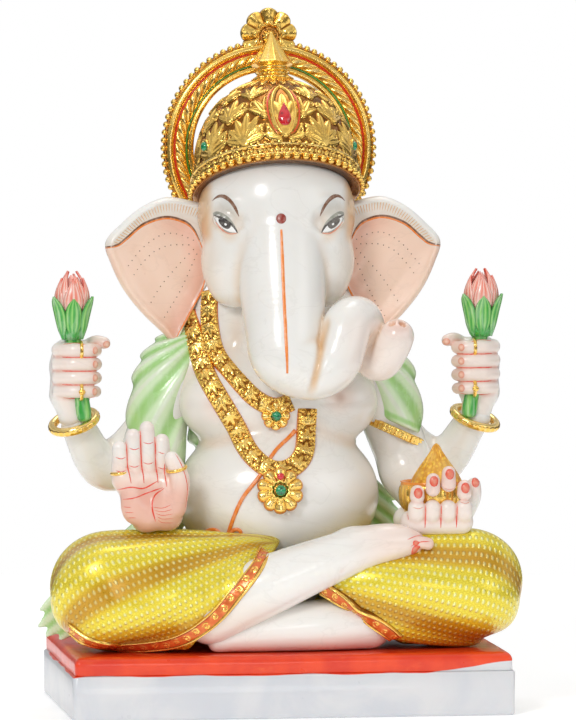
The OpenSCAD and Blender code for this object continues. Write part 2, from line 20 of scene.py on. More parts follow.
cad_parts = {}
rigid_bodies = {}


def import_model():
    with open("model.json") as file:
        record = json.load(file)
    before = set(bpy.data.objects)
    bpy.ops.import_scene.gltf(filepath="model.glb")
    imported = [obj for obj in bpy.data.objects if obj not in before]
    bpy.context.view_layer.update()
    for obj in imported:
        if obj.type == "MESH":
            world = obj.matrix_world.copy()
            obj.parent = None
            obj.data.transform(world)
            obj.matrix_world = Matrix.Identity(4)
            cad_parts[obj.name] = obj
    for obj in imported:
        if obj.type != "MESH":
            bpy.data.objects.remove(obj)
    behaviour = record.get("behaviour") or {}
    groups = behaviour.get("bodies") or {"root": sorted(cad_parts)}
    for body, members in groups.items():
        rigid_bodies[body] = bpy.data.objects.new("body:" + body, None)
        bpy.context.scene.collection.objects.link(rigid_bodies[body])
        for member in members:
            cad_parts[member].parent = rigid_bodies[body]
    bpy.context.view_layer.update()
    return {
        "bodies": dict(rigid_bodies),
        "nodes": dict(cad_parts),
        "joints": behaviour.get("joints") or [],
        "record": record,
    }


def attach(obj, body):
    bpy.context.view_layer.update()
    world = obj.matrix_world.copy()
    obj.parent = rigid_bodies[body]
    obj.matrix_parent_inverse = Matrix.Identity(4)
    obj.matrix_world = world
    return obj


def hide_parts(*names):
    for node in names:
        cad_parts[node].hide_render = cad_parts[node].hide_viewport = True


LOG = logging.getLogger("idol")
SEAT = 27.0
MM = 0.001
SIDES = (-1, 1)

Triple = tuple[float, float, float]
Quad = tuple[float, float, float, float]
Array = np.ndarray


# ---------------------------------------------------------------- colours


class Tone(Enum):
    """Named paint colours as sRGB, 0 to 255."""

    MARBLE = (240, 238, 233)
    OCHRE = (226, 180, 120)
    BLUSH = (246, 205, 184)
    ROSE = (226, 140, 112)
    EAR_PINK = (250, 214, 190)
    RED = (226, 58, 24)
    MAROON = (150, 34, 14)
    ORANGE = (240, 130, 30)
    BROWN = (120, 72, 40)
    INK = (48, 40, 38)
    # Grey painted shade for the eyelids.
    LID_SHADE = (150, 150, 138)
    GREEN = (138, 204, 84)
    PALE_GREEN = (222, 243, 204)
    DEEP_GREEN = (44, 140, 52)
    LEAF = (52, 164, 60)
    PALE_LEAF = (160, 222, 120)
    PETAL = (240, 112, 84)
    PALE_PETAL = (252, 214, 200)
    YELLOW = (236, 200, 10)
    LEMON = (246, 232, 70)
    AMBER = (186, 112, 6)
    GOLD = (255, 206, 84)
    WHITE = (250, 250, 248)

    @property
    def linear(self) -> Array:
        """The colour as three linear numbers."""
        c = np.array(self.value, float) / 255.0
        return np.where(c <= 0.04045, c / 12.92, ((c + 0.055) / 1.055) ** 2.4)


def blend(base: Array, tone: Tone, amount: Array) -> Array:
    """Mixes a tone into per-vertex colours.

    Args:
        base: colours, one row per vertex.
        tone: the colour to mix in.
        amount: 0 to 1 per vertex.

    Returns:
        The mixed colours.
    """
    a = np.clip(amount, 0, 1)[:, None]
    return base * (1 - a) + tone.linear * a


def soft(x: Array, low: float, high: float) -> Array:
    """Smooth step from 0 at low to 1 at high.

    Args:
        x: values.
        low: where the step starts.
        high: where it ends, which may be below low.

    Returns:
        The stepped values.
    """
    t = np.clip((x - low) / (high - low), 0, 1)
    return t * t * (3 - 2 * t)


# ---------------------------------------------------------------- curves


def spline(points: Sequence[Sequence[float]], per: int = 6, closed: bool = False) -> Array:
    """Catmull-Rom curve through points of any dimension.

    Args:
        points: the points it passes through.
        per: samples in each span.
        closed: whether the last point joins the first.

    Returns:
        The samples, one row each.
    """
    p = np.array(points, float)
    if len(p) < 3 and not closed:
        t = np.linspace(0, 1, per + 1)[:, None]
        return p[0] * (1 - t) + p[-1] * t
    q = np.vstack([p[-1], p, p[:2]]) if closed else np.vstack([2 * p[0] - p[1], p, 2 * p[-1] - p[-2]])
    t = np.arange(per)[:, None] / per
    rows = []
    for i in range(1, len(q) - 2):
        a, b, c, d = q[i - 1 : i + 3]
        rows.append(0.5 * (2 * b + (c - a) * t + (2 * a - 5 * b + 4 * c - d) * t**2 + (3 * b - 3 * c + d - a)
            * t**3))
    return np.vstack(rows + ([] if closed else [q[-2:-1]]))


def even(points: Array, gap: float) -> Array:
    """Spaces samples evenly along a polyline.

    Args:
        points: the polyline.
        gap: the wanted distance between samples.

    Returns:
        The new samples, both ends kept.
    """
    s = np.r_[0, np.cumsum(np.linalg.norm(np.diff(points[:, :3], axis=0), axis=1))]
    n = max(2, int(round(s[-1] / gap)) + 1)
    u = np.linspace(0, s[-1], n)
    return np.stack([np.interp(u, s, points[:, k]) for k in range(points.shape[1])], 1)


def turn(x: float = 0, y: float = 0, z: float = 0) -> Array:
    """Rotation matrix, first about x, then y, then z.

    Args:
        x: degrees about x.
        y: degrees about y.
        z: degrees about z.

    Returns:
        A 3 by 3 matrix that turns column vectors.
    """
    a, b, c = np.radians([x, y, z])
    rx = np.array([[1, 0, 0], [0, math.cos(a), -math.sin(a)], [0, math.sin(a), math.cos(a)]])
    ry = np.array([[math.cos(b), 0, math.sin(b)], [0, 1, 0], [-math.sin(b), 0, math.cos(b)]])
    rz = np.array([[math.cos(c), -math.sin(c), 0], [math.sin(c), math.cos(c), 0], [0, 0, 1]])
    return rz @ ry @ rx


def unit(v: Array) -> Array:
    """Vectors scaled to length one.

    Args:
        v: vectors on the last axis.

    Returns:
        The unit vectors.
    """
    return v / np.maximum(np.linalg.norm(v, axis=-1, keepdims=True), 1e-9)


# ---------------------------------------------------------------- skins


@dataclass
class Skin:
    """A surface in seat millimetres, with what is painted on it.

    Attributes:
        v: vertices.
        quads: four-sided faces.
        tris: three-sided faces.
        paint: linear colour per vertex.
        mask: how much the paint covers a metal, 0 to 1 per vertex.
        extra: other named numbers, one or three per vertex.
    """

    v: Array
    quads: Array
    tris: Array = field(default_factory=lambda: np.zeros((0, 3), int))
    paint: Array | None = None
    mask: Array | None = None
    extra: dict[str, Array] = field(default_factory=dict)

    def normals(self) -> Array:
        """Outward unit normal at each vertex.

        Returns:
            One unit vector per vertex.
        """
        n = np.zeros_like(self.v)
        if len(self.quads):
            a, b, c, d = (self.v[self.quads[:, k]] for k in range(4))
            w = np.cross(c - a, d - b)
            for k in range(4):
                for axis in range(3):
                    n[:, axis] += np.bincount(self.quads[:, k], w[:, axis], len(self.v))
        if len(self.tris):
            a, b, c = (self.v[self.tris[:, k]] for k in range(3))
            w = np.cross(b - a, c - a)
            for k in range(3):
                for axis in range(3):
                    n[:, axis] += np.bincount(self.tris[:, k], w[:, axis], len(self.v))
        return unit(n)

    def near(self, values: Array, rounds: int = 1) -> Array:
        """Values averaged over each vertex's neighbours.

        Args:
            values: one row per vertex.
            rounds: how often.

        Returns:
            The averaged values.
        """
        i = self.quads.ravel()
        j = self.quads[:, [1, 2, 3, 0]].ravel()
        count = np.bincount(np.r_[i, j], minlength=len(self.v)).astype(float)
        flat = values.reshape(len(self.v), -1).astype(float)
        for _ in range(rounds):
            out = np.empty_like(flat)
            for k in range(flat.shape[1]):
                c = flat[:, k]
                out[:, k] = (np.bincount(i, c[j], len(c)) + np.bincount(j, c[i], len(c))) / np.maximum(count, 1)
            flat = np.where(count[:, None] > 0, out, flat)
        return flat.reshape(values.shape)

    def creases(self, rounds: int = 5) -> Array:
        """How deep in a crease each vertex lies, about 0 to 1.

        Args:
            rounds: how far the answer is spread over neighbours.

        Returns:
            One number per vertex.
        """
        hollow = ((self.near(self.v) - self.v) * self.normals()).sum(1)
        scale = np.median(np.linalg.norm(self.v[self.quads[:, 0]] - self.v[self.quads[:, 1]], axis=1))
        return self.near(np.clip(hollow / scale * 9, 0, 1.4), rounds)

    def moved(self, matrix: Array | None = None, shift: Sequence[float] = (0, 0, 0)) -> "Skin":
        """A copy turned and then shifted.

        Args:
            matrix: rotation or mirror, or None.
            shift: millimetres.

        Returns:
            The copy.
        """
        m = np.eye(3) if matrix is None else matrix
        flip = np.linalg.det(m) < 0
        quads = self.quads[:, ::-1] if flip else self.quads
        tris = self.tris[:, ::-1] if flip else self.tris
        paint = None if self.paint is None else self.paint.copy()
        mask = None if self.mask is None else self.mask.copy()
        extra = {k: a.copy() for k, a in self.extra.items()}
        return Skin(self.v @ m.T + np.array(shift, float), quads.copy(), tris.copy(), paint, mask, extra)


def joined(skins: Sequence[Skin]) -> Skin:
    """One skin from several.

    Args:
        skins: the skins, all painted alike or none painted.

    Returns:
        The joined skin.
    """
    start = np.cumsum([0] + [len(s.v) for s in skins])
    names = set().union(*(s.extra for s in skins))
    return Skin(
        np.vstack([s.v for s in skins]),
        np.vstack([s.quads + o for s, o in zip(skins, start)]),
        np.vstack([s.tris + o for s, o in zip(skins, start)]),
        np.vstack([s.paint if s.paint is not None else np.tile(Tone.MARBLE.linear, (len(s.v), 1))
        for s in skins]),
        np.concatenate([s.mask if s.mask is not None else np.zeros(len(s.v)) for s in skins]),
        {k: np.concatenate([s.extra.get(k, np.zeros(len(s.v))) for s in skins]) for k in names},
    )


def loft(rings: Array, caps: bool = True, loop: bool = False) -> Skin:
    """A skin over closed rings of points.

    Args:
        rings: shape (rings, points, 3).
        caps: whether each end is closed with a fan to its middle.
        loop: whether the last ring joins the first.

    Returns:
        The skin; its vertices keep the order of the rings.
    """
    m, n, _ = rings.shape
    i = np.arange(m if loop else m - 1)[:, None]
    j = np.arange(n)[None, :]
    a, b = i * n + j, i * n + (j + 1) % n
    c, d = ((i + 1) % m) * n + (j + 1) % n, ((i + 1) % m) * n + j
    quads = np.stack([a, b, c, d], -1).reshape(-1, 4)
    v = rings.reshape(-1, 3)
    tris = np.zeros((0, 3), int)
    if caps and not loop:
        k = np.arange(n)
        low = np.stack([np.full(n, m * n), (k + 1) % n, k], 1)
        high = np.stack([np.full(n, m * n + 1), (m - 1) * n + k, (m - 1) * n + (k + 1) % n], 1)
        tris = np.vstack([low, high])
        v = np.vstack([v, rings[0].mean(0), rings[-1].mean(0)])
    skin = Skin(v, quads, tris)
    centre = v.mean(0)
    if loop:
        centre = rings[0].mean(0)
        first = quads[:: max(1, n // 4)][:1, 0]
        sign = ((v[first] - centre) * skin.normals()[first]).sum()
    else:
        sign = ((rings[m // 2] - rings[m // 2].mean(0)) * skin.normals()[(m // 2) * n : (m // 2) * n + n]).sum()
    if sign < 0:
        skin = Skin(v, quads[:, ::-1], tris[:, ::-1])
    return skin


def spin(profile: Array, n: int = 48, bend: Callable[[Array, Array], Array] | None = None,
        caps: bool = True) -> Skin:
    """A skin turned about z from a profile of (radius, height).

    Args:
        profile: rows of radius and height.
        n: points round each ring.
        bend: gives a change of radius from (angle, row number as 0 to 1), both arrays.
        caps: whether the ends are closed.

    Returns:
        The skin.
    """
    a = np.linspace(0, 2 * np.pi, n, endpoint=False)[None, :]
    r = np.repeat(profile[:, :1], n, 1)
    if bend is not None:
        r = r + bend(a, np.linspace(0, 1, len(profile))[:, None])
    z = np.repeat(profile[:, 1:2], n, 1)
    return loft(np.stack([r * np.cos(a), r * np.sin(a), z], -1), caps)


def ball(centre: Sequence[float], radius: float | Sequence[float], n: int = 10) -> Skin:
    """A small closed bead.

    Args:
        centre: its middle.
        radius: one radius, or three.
        n: points round it.

    Returns:
        The skin.
    """
    t = np.linspace(0.12, np.pi - 0.12, max(4, n // 2 + 1))
    skin = spin(np.stack([np.sin(t), -np.cos(t)], 1), n)
    return Skin(skin.v * np.array(radius) + np.array(centre), skin.quads, skin.tris)


def frames(path: Array, up: Array | None = None, closed: bool = False) -> tuple[Array, Array, Array]:
    """Tangent, side and up directions along a path.

    Args:
        path: points.
        up: wanted up direction at each point, or None to carry one along the path.
        closed: whether the path is a loop.

    Returns:
        Three arrays of unit vectors.
    """
    if closed:
        t = unit(np.roll(path, -1, 0) - np.roll(path, 1, 0))
    else:
        t = unit(np.gradient(path, axis=0))
    if up is None:
        ups = [unit(np.cross(t[0], [0.31, 0.84, 0.44]))]
        for k in range(1, len(path)):
            u = ups[-1] - t[k] * (ups[-1] @ t[k])
            ups.append(u / max(np.linalg.norm(u), 1e-9))
        up = np.array(ups)
    side = unit(np.cross(t, up))
    return t, side, np.cross(side, t)


def tube(path: Array, radius: Array | float, n: int = 12, flat: float = 1.0, up: Array | None = None,
        loop: bool = False) -> Skin:
    """A round or flattened tube along a path.

    Args:
        path: points.
        radius: one number, or one per point.
        n: points round it.
        flat: height over width.
        up: the height direction at each point.
        loop: whether it closes on itself.

    Returns:
        The skin.
    """
    r = np.broadcast_to(radius, len(path))[:, None, None]
    _, side, top = frames(path, up, loop)
    a = np.linspace(0, 2 * np.pi, n, endpoint=False)[None, :, None]
    rings = path[:, None] + r * (np.cos(a) * side[:, None] + flat * np.sin(a) * top[:, None])
    return loft(rings, not loop, loop)


# ---------------------------------------------------------------- clay


@dataclass(frozen=True)
class Lump:
    """An ellipsoid of clay.

    Attributes:
        centre: its middle.
        radii: its three half sizes.
        tilt: degrees about x, y and z.
    """

    centre: Triple
    radii: Triple
    tilt: Triple = (0, 0, 0)

    def box(self) -> tuple[Array, Array]:
        """Lowest and highest corner."""
        r = np.full(3, max(self.radii)) if any(self.tilt) else np.array(self.radii, float)
        return np.array(self.centre) - r, np.array(self.centre) + r

    def gap(self, p: Array) -> Array:
        """Distance outside the ellipsoid, k0 (k0 - 1) / k1 with k0 = |q / r| and k1 = |q / r^2|.

        Args:
            p: points on the last axis.

        Returns:
            Distances, negative inside.
        """
        q = (p - np.array(self.centre, np.float32)) @ turn(*self.tilt).astype(np.float32)
        r = np.array(self.radii, np.float32)
        k0 = np.linalg.norm(q / r, axis=-1)
        k1 = np.linalg.norm(q / r**2, axis=-1)
        return k0 * (k0 - 1) / np.maximum(k1, 1e-6)


@dataclass(frozen=True)
class Limb:
    """A rounded limb of changing thickness along a smooth path.

    Attributes:
        points: x, y, z and radius of each station.
        per: samples in each span.
        flat: scale along x, y and z about the hinge.
        hinge: the point that the scale leaves alone.
    """

    points: tuple[Quad, ...]
    per: int = 5
    flat: Triple = (1, 1, 1)
    hinge: Triple = (0, 0, 0)

    def stations(self) -> Array:
        """The samples of the path, unscaled."""
        return spline(self.points, self.per)

    def box(self) -> tuple[Array, Array]:
        """Lowest and highest corner.

        Returns:
            The two corners.
        """
        s, f, h = self.stations(), np.array(self.flat), np.array(self.hinge)
        low, high = (s[:, :3] - s[:, 3:]).min(0), (s[:, :3] + s[:, 3:]).max(0)
        return (low - h) * f + h, (high - h) * f + h

    def pieces(self) -> list[tuple[Array, Array]]:
        """Neighbouring pairs of samples."""
        s = self.stations().astype(np.float32)
        return list(zip(s[:-1], s[1:]))

    def piece_gap(self, p: Array, a: Array, b: Array) -> Array:
        """Distance outside one tapered capsule.

        Args:
            p: points.
            a: first sample.
            b: second sample.

        Returns:
            Distances, negative inside.
        """
        f, h = np.array(self.flat, np.float32), np.array(self.hinge, np.float32)
        q = (p - h) / f + h
        ab = b[:3] - a[:3]
        t = np.clip(((q - a[:3]) @ ab) / max(float(ab @ ab), 1e-9), 0, 1)
        d = np.linalg.norm(q - a[:3] - t[..., None] * ab, axis=-1) - (a[3] + t * (b[3] - a[3]))
        return d * min(self.flat)

    def gap(self, p: Array) -> Array:
        """Distance outside the whole limb.

        Args:
            p: points on the last axis.

        Returns:
            Distances, negative inside.
        """
        d = np.full(p.shape[:-1], 99.0, np.float32)
        for a, b in self.pieces():
            d = np.minimum(d, self.piece_gap(p, a, b))
        return d


def line(points: Sequence[Sequence[float]], radius: float = 0.0, per: int = 6) -> Limb:
    """A limb of one radius.

    Args:
        points: stations without radius.
        radius: the radius.
        per: samples in each span.
    """
    return Limb(tuple((*p, radius) for p in points), per)


def mirrored(points: Sequence[Quad], side: int) -> tuple[Quad, ...]:
    """Stations on the idol's own right (-1, as given) or left (1, mirrored when given for the right).

    Args:
        points: stations, x outward.
        side: -1 or 1, multiplied into x.
    """
    return tuple((side * p[0], *p[1:]) for p in points)


class Clay:
    """A block of space in which forms are blended, then skinned.

    The field is a distance in millimetres, negative inside. Unions use the polynomial smooth minimum
    min(a, b) - k h (1 - h) with h = clamp(1/2 + (b - a) / 2k).
    """

    def __init__(self, low: Sequence[float], high: Sequence[float], step: float) -> None:
        """Makes an empty block.

        Args:
            low: lowest corner.
            high: highest corner.
            step: grid spacing.
        """
        self.low, self.step = np.array(low, np.float32), step
        self.shape = np.ceil((np.array(high) - np.array(low)) / step).astype(int) + 1
        self.field = np.full(self.shape, 50.0, np.float32)

    def window(self, low: Array, high: Array) -> tuple[slice, slice, slice]:
        """Grid slices that cover a box.

        Args:
            low: lowest corner.
            high: highest corner.

        Returns:
            One slice per axis.
        """
        a = np.clip(np.floor((low - self.low) / self.step).astype(int), 0, self.shape)
        b = np.clip(np.ceil((high - self.low) / self.step).astype(int) + 1, 0, self.shape)
        return tuple(slice(int(i), int(max(i, j))) for i, j in zip(a, b))

    def points(self, win: tuple[slice, slice, slice]) -> Array:
        """Grid points of a window.

        Args:
            win: slices from window().

        Returns:
            Points, millimetres.
        """
        axes = [self.low[k] + self.step * np.arange(win[k].start, win[k].stop, dtype=np.float32)
            for k in range(3)]
        return np.stack(np.meshgrid(*axes, indexing="ij"), -1)

    def _gap(self, form: Lump | Limb, pad: float) -> tuple[tuple[slice, slice, slice], Array]:
        """Distance to a form on the part of the grid near it.

        Args:
            form: the form.
            pad: margin round its box, mm.

        Returns:
            The window of the grid, and the distances in it.
        """
        low, high = form.box()
        win = self.window(low - pad, high + pad)
        p = self.points(win)
        if isinstance(form, Lump):
            return win, form.gap(p)
        d = np.full(p.shape[:3], 50.0, np.float32)
        f, h = np.array(form.flat), np.array(form.hinge)
        for a, b in form.pieces():
            r = max(a[3], b[3])
            lo = (np.minimum(a[:3], b[:3]) - r - h) * f + h - pad
            hi = (np.maximum(a[:3], b[:3]) + r - h) * f + h + pad
            sub = self.window(lo, hi)
            cut = tuple(slice(s.start - w.start, s.stop - w.start) for s, w in zip(sub, win))
            if d[cut].size:
                d[cut] = np.minimum(d[cut], form.piece_gap(p[cut], a, b))
        return win, d

    def add(self, form: Lump | Limb, k: float = 3.0) -> "Clay":
        """Adds a form.

        Args:
            form: what to add.
            k: blend radius.

        Returns:
            Itself, so that calls chain.
        """
        win, d = self._gap(form, k + 2.5 * self.step)
        f = self.field[win]
        h = np.clip(0.5 + 0.5 * (d - f) / k, 0, 1)
        self.field[win] = np.where(f > 49, d, d * (1 - h) + f * h - k * h * (1 - h))
        return self

    def cut(self, form: Lump | Limb, k: float = 1.0) -> "Clay":
        """Takes a form away.

        Args:
            form: what to take away.
            k: blend radius.

        Returns:
            Itself, so that calls chain.
        """
        win, d = self._gap(form, k + 2.5 * self.step)
        f, d = self.field[win], -d
        h = np.clip(0.5 - 0.5 * (d - f) / k, 0, 1)
        self.field[win] = d * (1 - h) + f * h + k * h * (1 - h)
        return self

    def score(self, points: Sequence[Sequence[float]], width: float, depth: float) -> "Clay":
        """Presses a soft groove, or raises a ridge when depth is negative.

        Args:
            points: the line it follows.
            width: half width of the bell-shaped section.
            depth: how deep.

        Returns:
            Itself, so that calls chain.
        """
        win, d = self._gap(line(points, 0.0, 5), width * 2.6)
        self.field[win] += depth * np.exp(-((np.minimum(d, 40) / width) ** 2))
        return self

    def alter(self, change: Callable[[Array, Array], Array], low: Sequence[float] | None = None,
            high: Sequence[float] | None = None) -> "Clay":
        """Rewrites the field in a box.

        Args:
            change: gives the new field from (points, field).
            low: lowest corner, or None for the whole block.
            high: highest corner.

        Returns:
            Itself, so that calls chain.
        """
        win = self.window(np.array(low), np.array(high)) if low is not None else tuple(slice(0, int(n))
            for n in self.shape)
        self.field[win] = change(self.points(win), self.field[win])
        return self

    def keep(self, normal: Triple, at: Triple, k: float = 1.0) -> "Clay":
        """Keeps only the side of a plane that its normal points away from.

        Args:
            normal: the plane's outward direction.
            at: a point on it.
            k: rounding of the cut edge.

        Returns:
            Itself, so that calls chain.
        """
        n = unit(np.array(normal, float)).astype(np.float32)

        def change(p: Array, f: Array) -> Array:
            """The field with everything past the plane taken off.

            Args:
                p: grid points.
                f: the field there.

            Returns:
                The new field.
            """
            d = (p - np.array(at, np.float32)) @ n
            h = np.clip(0.5 - 0.5 * (d - f) / k, 0, 1)
            return d * (1 - h) + f * h + k * h * (1 - h)

        return self.alter(change)

    def sample(self, grid: Array, p: Array) -> Array:
        """Trilinear value of a grid at points.

        Args:
            grid: an array on this block's grid.
            p: points.

        Returns:
            One number per point.
        """
        q = np.clip((p - self.low) / self.step, 0, np.array(grid.shape) - 1.001)
        i = q.astype(int)
        f = q - i
        out = 0.0
        for dx in (0, 1):
            for dy in (0, 1):
                for dz in (0, 1):
                    w = np.abs(1 - dx - f[:, 0]) * np.abs(1 - dy - f[:, 1]) * np.abs(1 - dz - f[:, 2])
                    out = out + w * grid[i[:, 0] + dx, i[:, 1] + dy, i[:, 2] + dz]
        return out

    def skin(self, rounds: int = 3) -> Skin:
        """Skins the field's zero with one vertex in each mixed cell, then relaxes it onto the surface.

        Args:
            rounds: relaxing rounds.

        Returns:
            The skin, with marble paint.
        """
        g = self.field
        g[[0, -1]] = np.maximum(g[[0, -1]], 0.2)
        g[:, [0, -1]] = np.maximum(g[:, [0, -1]], 0.2)
        g[:, :, [0, -1]] = np.maximum(g[:, :, [0, -1]], 0.2)
        neg = g < 0
        corners = [(x, y, z) for x in (0, 1) for y in (0, 1) for z in (0, 1)]
        n = self.shape - 1
        total = sum(neg[x : x + n[0], y : y + n[1], z : z + n[2]].astype(np.int8) for x, y, z in corners)
        mixed = (total > 0) & (total < 8)
        cell = np.argwhere(mixed)
        index = np.full(mixed.shape, -1, int)
        index[mixed] = np.arange(len(cell))
        value = np.stack([g[cell[:, 0] + x, cell[:, 1] + y, cell[:, 2] + z] for x, y, z in corners], 1)
        spot, count = np.zeros((len(cell), 3)), np.zeros(len(cell))
        for i in range(8):
            for j in range(i + 1, 8):
                if bin(i ^ j).count("1") != 1:
                    continue
                a, b = value[:, i], value[:, j]
                hit = (a < 0) != (b < 0)
                t = np.where(hit, a / np.where(hit, a - b, 1), 0)[:, None]
                at = np.array(corners[i]) * (1 - t) + np.array(corners[j]) * t
                spot += np.where(hit[:, None], at, 0)
                count += hit
        v = self.low + self.step * (cell + spot / count[:, None])
        quads = []
        for axis in range(3):
            lo = [slice(1, -1)] * 3
            hi = [slice(1, -1)] * 3
            lo[axis], hi[axis] = slice(0, -1), slice(1, None)
            change = neg[tuple(lo)] != neg[tuple(hi)]
            at = np.argwhere(change) + np.array([0 if k == axis else 1 for k in range(3)])
            u, w = (axis + 1) % 3, (axis + 2) % 3
            eu, ew = np.eye(3, dtype=int)[u], np.eye(3, dtype=int)[w]
            ring = np.stack([index[tuple((at - a * eu - b * ew).T)] for a,
                b in ((1, 1), (0, 1), (0, 0), (1, 0))], 1)
            inside = neg[tuple(at.T)]
            quads.append(np.where(inside[:, None], ring, ring[:, ::-1]))
        skin = Skin(v, np.vstack(quads))
        slope = [s.astype(np.float32) for s in np.gradient(g, self.step)]
        for _ in range(rounds):
            skin.v = skin.v * 0.45 + skin.near(skin.v) * 0.55
            for _ in range(2):
                d = self.sample(g, skin.v)
                n3 = np.stack([self.sample(s, skin.v) for s in slope], 1)
                move = d[:, None] * n3 / np.maximum((n3**2).sum(1, keepdims=True), 0.05)
                size = np.linalg.norm(move, axis=1, keepdims=True)
                skin.v = skin.v - move * np.minimum(1, 0.7 * self.step / np.maximum(size, 1e-9))
        skin.paint = np.tile(Tone.MARBLE.linear, (len(skin.v), 1))
        return skin


# ---------------------------------------------------------------- finishes


class Tree:
    """The nodes of one procedural material."""

    def __init__(self, name: str) -> None:
        """Starts a material with one Principled shader.

        Args:
            name: the material's name.
        """
        self.material = bpy.data.materials.new(name)
        self.material.use_nodes = True
        self.nodes = self.material.node_tree.nodes
        self.links = self.material.node_tree.links
        self.nodes.clear()
        out = self.nodes.new("ShaderNodeOutputMaterial")
        self.shader = self.nodes.new("ShaderNodeBsdfPrincipled")
        self.links.new(self.shader.outputs[0], out.inputs[0])

    def feed(self, socket: bpy.types.NodeSocket, value: object) -> None:
        """Links a socket to another, or sets its number or colour.

        Args:
            socket: the input.
            value: an output socket, a number or a colour.
        """
        if isinstance(value, bpy.types.NodeSocket):
            self.links.new(value, socket)
        elif isinstance(value, Tone):
            socket.default_value = (*value.linear, 1)
        elif isinstance(value, (tuple, list, np.ndarray)):
            socket.default_value = (*value, 1) if len(value) == 3 and len(socket.default_value) == 4 else value
        else:
            socket.default_value = value

    def put(self, **values: object) -> None:
        """Sets the shader's inputs, written with underscores for spaces.

        Args:
            values: input name to value.
        """
        for name, value in values.items():
            self.feed(self.shader.inputs[name.replace("_", " ")], value)

    def node(self, kind: str, inputs: dict[int | str, object], **props: object) -> bpy.types.Node:
        """Adds a node.

        Args:
            kind: its type, without ShaderNode.
            inputs: values by input.
            props: its properties.

        Returns:
            The node.
        """
        n = self.nodes.new("ShaderNode" + kind)
        for k, v in props.items():
            setattr(n, k, v)
        for k, v in inputs.items():
            self.feed(n.inputs[k], v)
        return n

    def math(self, op: str, a: object, b: object = 0.0, clamp: bool = False) -> bpy.types.NodeSocket:
        """A sum of numbers.

        Args:
            op: the operation.
            a: first value.
            b: second value.
            clamp: whether it is kept within 0 to 1.
        """
        return self.node("Math", {0: a, 1: b}, operation=op, use_clamp=clamp).outputs[0]

    def attribute(self, name: str, out: str = "Color") -> bpy.types.NodeSocket:
        """A named number or colour on the mesh.

        Args:
            name: the attribute.
            out: Color, Fac or Vector.
        """
        return self.node("Attribute", {}, attribute_name=name).outputs[out]

    def place(self, stretch: Triple = (1, 1, 1)) -> bpy.types.NodeSocket:
        """Position on the object in metres, scaled.

        Args:
            stretch: scale along each axis.
        """
        spot = self.node("TexCoord", {}).outputs["Object"]
        return self.node("Mapping", {0: spot, 3: stretch}).outputs[0]

    def noise(self, scale: float, detail: float = 3.0, stretch: Triple = (1, 1, 1),
            twist: float = 0.0) -> bpy.types.NodeSocket:
        """Cloudy noise, 0 to 1.

        Args:
            scale: features per metre.
            detail: octaves.
            stretch: scale along each axis.
            twist: distortion.
        """
        return self.node("TexNoise", {"Vector": self.place(stretch), "Scale": scale, "Detail": detail,
            "Distortion": twist}).outputs[0]

    def step(self, value: object, low: float, high: float, first: float = 0.0,
            last: float = 1.0) -> bpy.types.NodeSocket:
        """Smooth step between two numbers.

        Args:
            value: the input.
            low: where it starts.
            high: where it ends.
            first: result at the start.
            last: result at the end.
        """
        return self.node("MapRange", {0: value, 1: low, 2: high, 3: first, 4: last},
            interpolation_type="SMOOTHSTEP").outputs[0]

    def mix(self, share: object, a: object, b: object, how: str = "MIX") -> bpy.types.NodeSocket:
        """Mixes two colours.

        Args:
            share: 0 gives the first.
            a: first colour.
            b: second colour.
            how: the blend type.
        """
        return self.node("Mix", {0: share, 6: a, 7: b}, data_type="RGBA", blend_type=how).outputs[2]

    def bump(self, height: object, depth: float, strength: float = 1.0,
            under: object | None = None) -> bpy.types.NodeSocket:
        """A bumped normal.

        Args:
            height: 0 to 1.
            depth: metres between 0 and 1.
            strength: how strong.
            under: a normal to add it to.

        Returns:
            The normal's socket.
        """
        n = self.node("Bump", {"Height": height, "Distance": depth, "Strength": strength})
        if under is not None:
            self.links.new(under, n.inputs["Normal"])
        return n.outputs[0]


@dataclass(frozen=True)
class PaintedStone:
    """Polished marble, bare or painted, coloured by the mesh's paint.

    Attributes:
        name: material name.
        roughness: base roughness.
        coat: clear lacquer.
        glow: subsurface weight.
        streak: how strongly brush marks show.
        direction: scale of the brush marks along each axis.
    """

    name: str
    roughness: float = 0.22
    coat: float = 0.35
    glow: float = 0.12
    streak: float = 0.0
    direction: Triple = (1, 1, 0.15)

    def make(self) -> bpy.types.Material:
        """Builds the material.

        Returns:
            The material.
        """
        t = Tree(self.name)
        paint = t.attribute("paint")
        cloud = t.noise(34, 5, twist=1.2)
        vein = t.math("ABSOLUTE", t.math("SUBTRACT", t.noise(19, 6, (1, 1, 1.7), 2.4), 0.5))
        colour = t.mix(t.step(cloud, 0.35, 0.75, 0.0, 0.05), paint, (0.62, 0.50, 0.38), "MULTIPLY")
        colour = t.mix(t.step(vein, 0.0, 0.02, 0.10, 0.0), colour, (0.60, 0.58, 0.55), "MULTIPLY")
        if self.streak:
            mark = t.noise(520, 4, self.direction, 0.4)
            colour = t.mix(t.step(mark, 0.40, 0.68, 0.0, self.streak), colour, (0.95, 0.97, 0.90))
        grain = t.noise(1500, 2)
        rough = t.math("ADD", t.math("MULTIPLY", t.noise(120, 3), 0.12), self.roughness - 0.06)
        t.put(Base_Color=colour, Roughness=rough, Coat_Weight=self.coat, Coat_Roughness=0.12,
            Subsurface_Weight=self.glow, Subsurface_Scale=0.004)
        t.put(Subsurface_Radius=(1.0, 0.75, 0.55), Specular_IOR_Level=0.5, Normal=t.bump(grain, 0.00004, 0.5))
        return t.material


